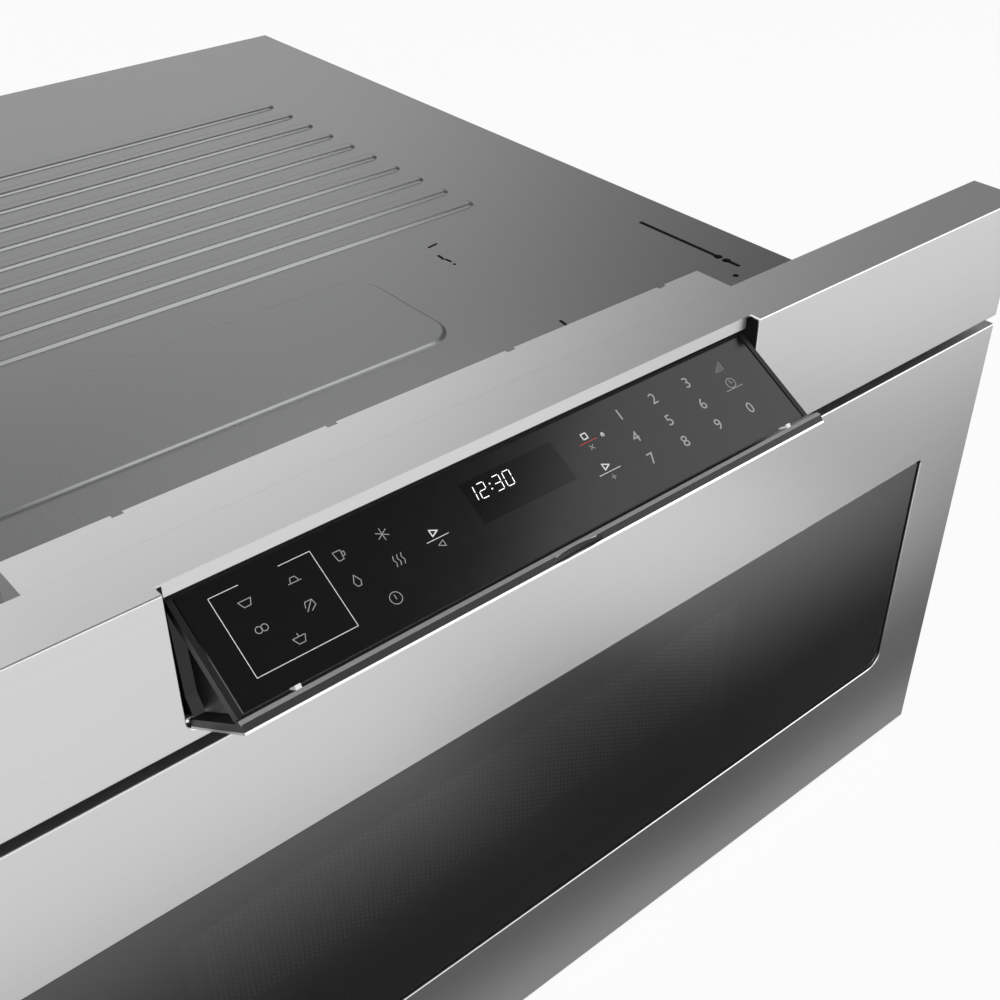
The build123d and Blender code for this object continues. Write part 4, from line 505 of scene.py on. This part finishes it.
# ------------------------------------------------------------------ signs, drawn in a box from -1 to 1
triangle = closed((-0.8, -0.8), (0.9, 0.0), (-0.8, 0.8))
triangle_back = closed((0.8, -0.8), (-0.9, 0.0), (0.8, 0.8))
square = closed((-0.7, -0.7), (0.7, -0.7), (0.7, 0.7), (-0.7, 0.7))
cross = [(-0.6, -0.6, 0.6, 0.6), (-0.6, 0.6, 0.6, -0.6)]
plus = [(-0.7, 0, 0.7, 0), (0, -0.7, 0, 0.7)]
cup = (closed((-0.7, 0.7), (-0.5, -0.8), (0.4, -0.8), (0.6, 0.7))
       + chain((0.6, 0.3), (1.0, 0.3), (0.9, -0.3), (0.5, -0.3)))
WAVE = ((0, -0.8, 0.25, -0.2), (0.25, -0.2, 0, 0.3), (0, 0.3, 0.25, 0.9))
waves = [(x + x0, y0, x + x1, y1) for x0, y0, x1, y1 in WAVE for x in (-0.8, -0.1, 0.6)]
flake = [(math.cos(turn), math.sin(turn), -math.cos(turn), -math.sin(turn))
         for turn in map(math.radians, (30, 90, 150))]
steps = [(x, -0.8, x, top) for x, top in ((-0.8, -0.3), (-0.27, 0.1), (0.27, 0.5), (0.8, 0.9))]
bowl = [(-1.0, 0.3, 1.0, 0.3), (-1.0, 0.3, -0.5, -0.7), (1.0, 0.3, 0.5, -0.7), (-0.5, -0.7, 0.5, -0.7)]
pot = bowl + [(0, 0.3, 0, 0.8)]
plate = [(-1.0, -0.5, 1.0, -0.5)] + chain((-0.7, -0.5), (-0.4, 0.3), (0.4, 0.3), (0.7, -0.5))
leaf = (chain((-0.8, -0.8), (0.6, 0.6), (0.8, -0.3), (-0.1, -0.9))
        + chain((0.6, 0.6), (-0.5, 0.6), (-0.8, -0.2)))
drop = closed((0.0, 1.0), (0.6, -0.1), (0.3, -0.8), (-0.3, -0.8), (-0.6, -0.1))
lock = closed((-0.8, -1.0), (0.8, -1.0), (0.8, 0.2), (-0.8, 0.2))
SIGN = 2.7                          # half the size of a sign
SIGNS = (                           # name, place, lines, circles
    ("sign_bowl", (-128.7, 36.6), bowl, ()),
    ("sign_plate", (-108.0, 36.6), plate, ()),
    ("sign_round", (-128.8, 24.7), (), ((-0.45, 0, 0.5), (0.45, 0, 0.5))),
    ("sign_leaf", (-107.9, 24.8), leaf, ()),
    ("sign_pot", (-118.4, 14.9), pot, ()),
    ("sign_cup", (-86.9, 37.1), cup, ()),
    ("sign_flake", (-66.4, 37.3), flake, ()),
    ("sign_drop", (-86.5, 24.8), drop, ()),
    ("sign_heat", (-66.6, 24.8), waves, ()),
    ("sign_question", (-76.8, 11.9), [(0, -0.15, 0, 0.5)], ((0, 0, 0.95),)),
    ("sign_level", (128.0, 39.5), steps, ()),
    ("sign_clock", (128.6, 30.0), [(0, 0, 0, 0.6), (0, 0, 0.4, 0)], ((0, 0, 0.95),)),
)
for name, spot, lines, circles in SIGNS:
    print_on_glass(drawing(spot, SIGN, lines, circles), ink_grey, name)

# ------------------------------------------------------------------ keys with two signs and a rule between
BOLD_SIGN, BOLD_STROKE = 1.9, 0.55  # upper sign: half its size, and its lines
LOWER_SIGN = 1.7                    # half the size of the lower sign
RULE_DROP = 3.0                     # from the upper sign down to the rule
LOWER_DROP = 5.9                    # and down to the lower sign
DOUBLE_KEYS = (                     # name, place of the upper sign, half the rule, signs, ink of the rule
    ("open", (-46.9, 28.8), 5.3, triangle, triangle_back, ink_white),
    ("stop", (41.5, 37.5), 4.8, square, cross, ink_red),
    ("start", (41.5, 21.3), 6.0, triangle, plus, ink_white),
)
for name, (x, y), half_rule, upper, lower, rule_ink in DOUBLE_KEYS:
    print_on_glass(drawing((x, y), BOLD_SIGN, upper, width=BOLD_STROKE), ink_white, f"sign_{name}")
    rule = stroke((x - half_rule, y - RULE_DROP), (x + half_rule, y - RULE_DROP), RULE)
    print_on_glass(rule, rule_ink, f"rule_{name}")
    print_on_glass(drawing((x, y - LOWER_DROP), LOWER_SIGN, lower), ink_grey, f"under_{name}")
print_on_glass(stroke((123.4, 27.0), (133.8, 27.0), RULE), ink_grey, "rule_clock")
print_on_glass(drawing((50.1, 34.9), 0.9, lock, ((0, 0.4, 0.5),), 0.3), ink_white, "sign_lock")

# ------------------------------------------------------------------ clock display
DISPLAY_MIDDLE = (-0.15, 32.05)
DISPLAY_SIZE = (50.3, 20.1)
BARS = {"a": ((0, 2), (1, 2)), "b": ((1, 2), (1, 1)), "c": ((1, 1), (1, 0)), "d": ((0, 0), (1, 0)),
        "e": ((0, 0), (0, 1)), "f": ((0, 1), (0, 2)), "g": ((0, 1), (1, 1))}
LIT_BARS = {"0": "abcdef", "1": "bc", "2": "abged", "3": "abgcd"}
FIGURE_H = 6.8
FIGURE_W = 3.6
FIGURE_SLANT = 0.14
BAR_WIDTH = 0.34
BAR_GAP = 0.5                       # from a corner of the figure to the end of a bar
CLOCK_AT = (-24.0, 32.2)
CLOCK_STEPS = (("1", -0.6), ("2", 5.0), ("3", 13.1), ("0", 18.7))
COLON_X = 11.1
COLON_LEVELS = (0.32, 0.68)         # shares of a figure's height
COLON_RUN, COLON_WIDTH = 0.1, 0.6   # a dot is a short thick stroke

print_on_glass(bar(DISPLAY_MIDDLE, DISPLAY_SIZE, lift=-INK_LIFT / 2), display_black, "display_window")


def on_clock(x, y):
    """A point of the slanted figures, from the clock's lower left corner."""
    return CLOCK_AT[0] + x + FIGURE_SLANT * y, CLOCK_AT[1] + y


def clock_figure(figure, x0):
    """The lit bars of one seven-bar figure."""
    half = FIGURE_H / 2
    for letter in LIT_BARS[figure]:
        (ax, ay), (bx, by) = BARS[letter]
        gap_x, gap_y = (bx - ax) * BAR_GAP, (by - ay) * BAR_GAP
        yield stroke(on_clock(x0 + ax * FIGURE_W + gap_x, ay * half + gap_y),
                     on_clock(x0 + bx * FIGURE_W - gap_x, by * half - gap_y), BAR_WIDTH)


clock = [lit for figure, x0 in CLOCK_STEPS for lit in clock_figure(figure, x0)]
for level in COLON_LEVELS:
    dot_x, dot_y = on_clock(COLON_X, FIGURE_H * level)
    clock.append(stroke((dot_x, dot_y), (dot_x + COLON_RUN, dot_y), COLON_WIDTH))
print_on_glass(join(clock), lit_white, "clock_figures")

# ================================================================== floor
FLOOR_WIDTH = 30
FLOOR_WHITE = 0.9                   # share of the floor's look that is its own white

bpy.ops.mesh.primitive_plane_add(size=FLOOR_WIDTH, location=(0, 0, 0))
floor = bpy.context.object
floor.name = "studio_floor"


def seen_as_background(tree):
    """1 for camera, glossy and transmission rays."""
    path = tree.nodes.new("ShaderNodeLightPath")
    total = math_node(tree, "MAXIMUM", path.outputs["Is Camera Ray"], path.outputs["Is Glossy Ray"])
    return math_node(tree, "MAXIMUM", total, path.outputs["Is Transmission Ray"])


# The floor is white to the eye. Steel and glass see a painted shadow of the object on it: darker close
# in front of the drawer, to the right of it and behind it. Each ramp is given as the two distances that it
# runs between, and the light at each of them.
PAINTED_SHADOW_SPOTS = (                      # painted shadow spots: place, reach of the dark middle, reach of the rim, light in the middle
    ((0.21, -0.47, 0.0), 0.03, 0.16, 0.45),
    ((0.62, -0.66, 0.0), 0.03, 0.16, 0.45),
)
FRONT_PAINTED_SHADOW = (0.40, 0.57, 0.03, 1.10)      # ahead of the drawer: painted shadow close by, bright beyond
FRONT_FOOT = (0.33, 0.385, 0.30, 0.0)      # the strip at the drawer's foot
BESIDE = (0.20, 0.33, 1.0, 0.0)            # beside the chassis: bright up to the face
RIGHT_PAINTED_SHADE = (0.45, 0.82, 0.0, 0.55)       # painted shade to the right of the object,
RIGHT_END = (0.58, 0.70, 1.0, 0.0)         # up to this far ahead
BACK_PAINTED_SHADE = (0.30, 0.60, 1.0, 0.25)        # painted shade behind the object
floor_material, floor_shader = plain("studio floor", (0.8, 0.8, 0.8), 0.9)
tree = floor_material.node_tree
place = object_place(tree)
ahead = measure(tree, "DOT_PRODUCT", place, TO_FRONT)
aside = measure(tree, "DOT_PRODUCT", place, X_AXIS)
behind = measure(tree, "DOT_PRODUCT", place, Y_AXIS)
front = math_node(tree, "MAXIMUM", ramp(tree, ahead, *FRONT_PAINTED_SHADOW), ramp(tree, ahead, *FRONT_FOOT))
front = math_node(tree, "MAXIMUM", front, ramp(tree, ahead, *BESIDE))
lost = product(tree, ramp(tree, aside, *RIGHT_PAINTED_SHADE), ramp(tree, ahead, *RIGHT_END))
spots = [ramp(tree, measure(tree, "DISTANCE", place, spot), inner, outer, in_middle, 1.0)
         for spot, inner, outer, in_middle in PAINTED_SHADOW_SPOTS]
mirrored = product(tree, ramp(tree, behind, *BACK_PAINTED_SHADE), front,
                   math_node(tree, "SUBTRACT", 1.0, lost), *spots)
glossy = tree.nodes.new("ShaderNodeLightPath").outputs["Is Glossy Ray"]
# Glossy rays see the floor's white darkened by this painted shadow of the object.
darker = product(tree, glossy, math_node(tree, "SUBTRACT", 1.0, mirrored))
glow = tree.nodes.new("ShaderNodeEmission")
tree.links.new(math_node(tree, "SUBTRACT", 1.0, darker), glow.inputs["Strength"])
blend_floor = tree.nodes.new("ShaderNodeMixShader")
tree.links.new(product(tree, seen_as_background(tree), FLOOR_WHITE), blend_floor.inputs[0])
tree.links.new(floor_shader.outputs[0], blend_floor.inputs[1])
tree.links.new(glow.outputs[0], blend_floor.inputs[2])
tree.links.new(blend_floor.outputs[0], tree.nodes["Material Output"].inputs["Surface"])
floor.data.materials.append(floor_material)

# ================================================================== room
# The room is white to the eye and grey as a light. Steel and glass see it very bright low down, and
# darker to the right of the object, low at the back and towards the ceiling. A ramp runs between two
# shares of a direction: along the middle of the dark side, upwards or backwards.
DARK_SIDE = (0.89, 0.157, 0.42)
SIDE_DARK = (0.70, 0.95, 1.0, 0.20)
LOW_BRIGHT = (0.36, 0.57, 1.85, 0.79)
CEILING_DARK = (0.62, 0.88, 1.0, 0.12)
BACK_LOSS = (0.2, 0.5, 0.0, 0.75)          # light lost towards the back,
BACK_TOP = (0.16, 0.36, 1.0, 0.0)          # up to this height
ROOM_GREY = (0.9, 0.9, 0.9, 1)
ROOM_LIGHT = 0.45
world = bpy.data.worlds.new("studio")
bpy.context.scene.world = world
world.use_nodes = True
tree = world.node_tree
room = tree.nodes["Background"]
room.inputs["Color"].default_value = ROOM_GREY
room.inputs["Strength"].default_value = ROOM_LIGHT
direction = tree.nodes.new("ShaderNodeTexCoord").outputs["Generated"]
sideways = ramp(tree, measure(tree, "DOT_PRODUCT", direction, DARK_SIDE), *SIDE_DARK)
height = measure(tree, "DOT_PRODUCT", direction, Z_AXIS)
upwards = product(tree, ramp(tree, height, *LOW_BRIGHT), ramp(tree, height, *CEILING_DARK))
backwards = ramp(tree, measure(tree, "DOT_PRODUCT", direction, Y_AXIS), *BACK_LOSS)
low_back = product(tree, ramp(tree, height, *BACK_TOP), backwards)
mirrored = product(tree, sideways, upwards, math_node(tree, "SUBTRACT", 1.0, low_back))
camera_ray = tree.nodes.new("ShaderNodeLightPath").outputs["Is Camera Ray"]
not_camera = math_node(tree, "SUBTRACT", 1.0, camera_ray)
white = tree.nodes.new("ShaderNodeBackground")
white.inputs["Color"].default_value = (1, 1, 1, 1)
tree.links.new(math_node(tree, "ADD", camera_ray, product(tree, not_camera, mirrored)),
               white.inputs["Strength"])
blend_world = tree.nodes.new("ShaderNodeMixShader")
tree.links.new(seen_as_background(tree), blend_world.inputs[0])
tree.links.new(room.outputs[0], blend_world.inputs[1])
tree.links.new(white.outputs[0], blend_world.inputs[2])
tree.links.new(blend_world.outputs[0], tree.nodes["World Output"].inputs["Surface"])


# ================================================================== lamps and camera
def soft_light(name, place, target, width, height, power):
    """A rectangular studio light aimed at a point."""
    bpy.ops.object.light_add(type="AREA", location=place)
    lamp = bpy.context.object
    lamp.name = name
    lamp.data.shape = "RECTANGLE"
    lamp.data.size = width
    lamp.data.size_y = height
    lamp.data.energy = power
    lamp.rotation_euler = (Vector(target) - Vector(place)).to_track_quat("-Z", "Y").to_euler()
    return lamp


soft_light("key_light", (-1.6, -1.8, 2.6), (0, 0, 0.2), 2.9, 2.9, 50)
soft_light("back_light", (-1.4, 2.2, 3.0), (0, 0, 0.3), 2.8, 2.8, 30)
soft_light("edge_light", (1.92, -1.34, 1.70), (0, 0, 0.35), 2.2, 2.2, 21)
# A small lamp close over the top cover lights the near slopes of its ribs, and nothing else.
rib_light = soft_light("rib_light", (0.20, -0.09, 0.82), (0.20, -0.09, 0.0), 0.46, 0.50, 2.6)
rib_light.visible_camera = False
ribbed = bpy.data.collections.new("ribbed")
ribbed.objects.link(nodes["top_cover"])
rib_light.light_linking.receiver_collection = ribbed

bpy.ops.object.camera_add(location=CAMERA_AT,
                          rotation=(math.radians(90 - CAMERA_ELEVATION), 0, math.radians(CAMERA_AZIMUTH)))
camera = bpy.context.object
camera.name = "photo_camera"
camera.data.lens = CAMERA_LENS
camera.data.sensor_width = CAMERA_SENSOR
camera.data.shift_x, camera.data.shift_y = CAMERA_SHIFT
bpy.context.scene.camera = camera
bpy.context.scene.view_settings.view_transform = "Standard"
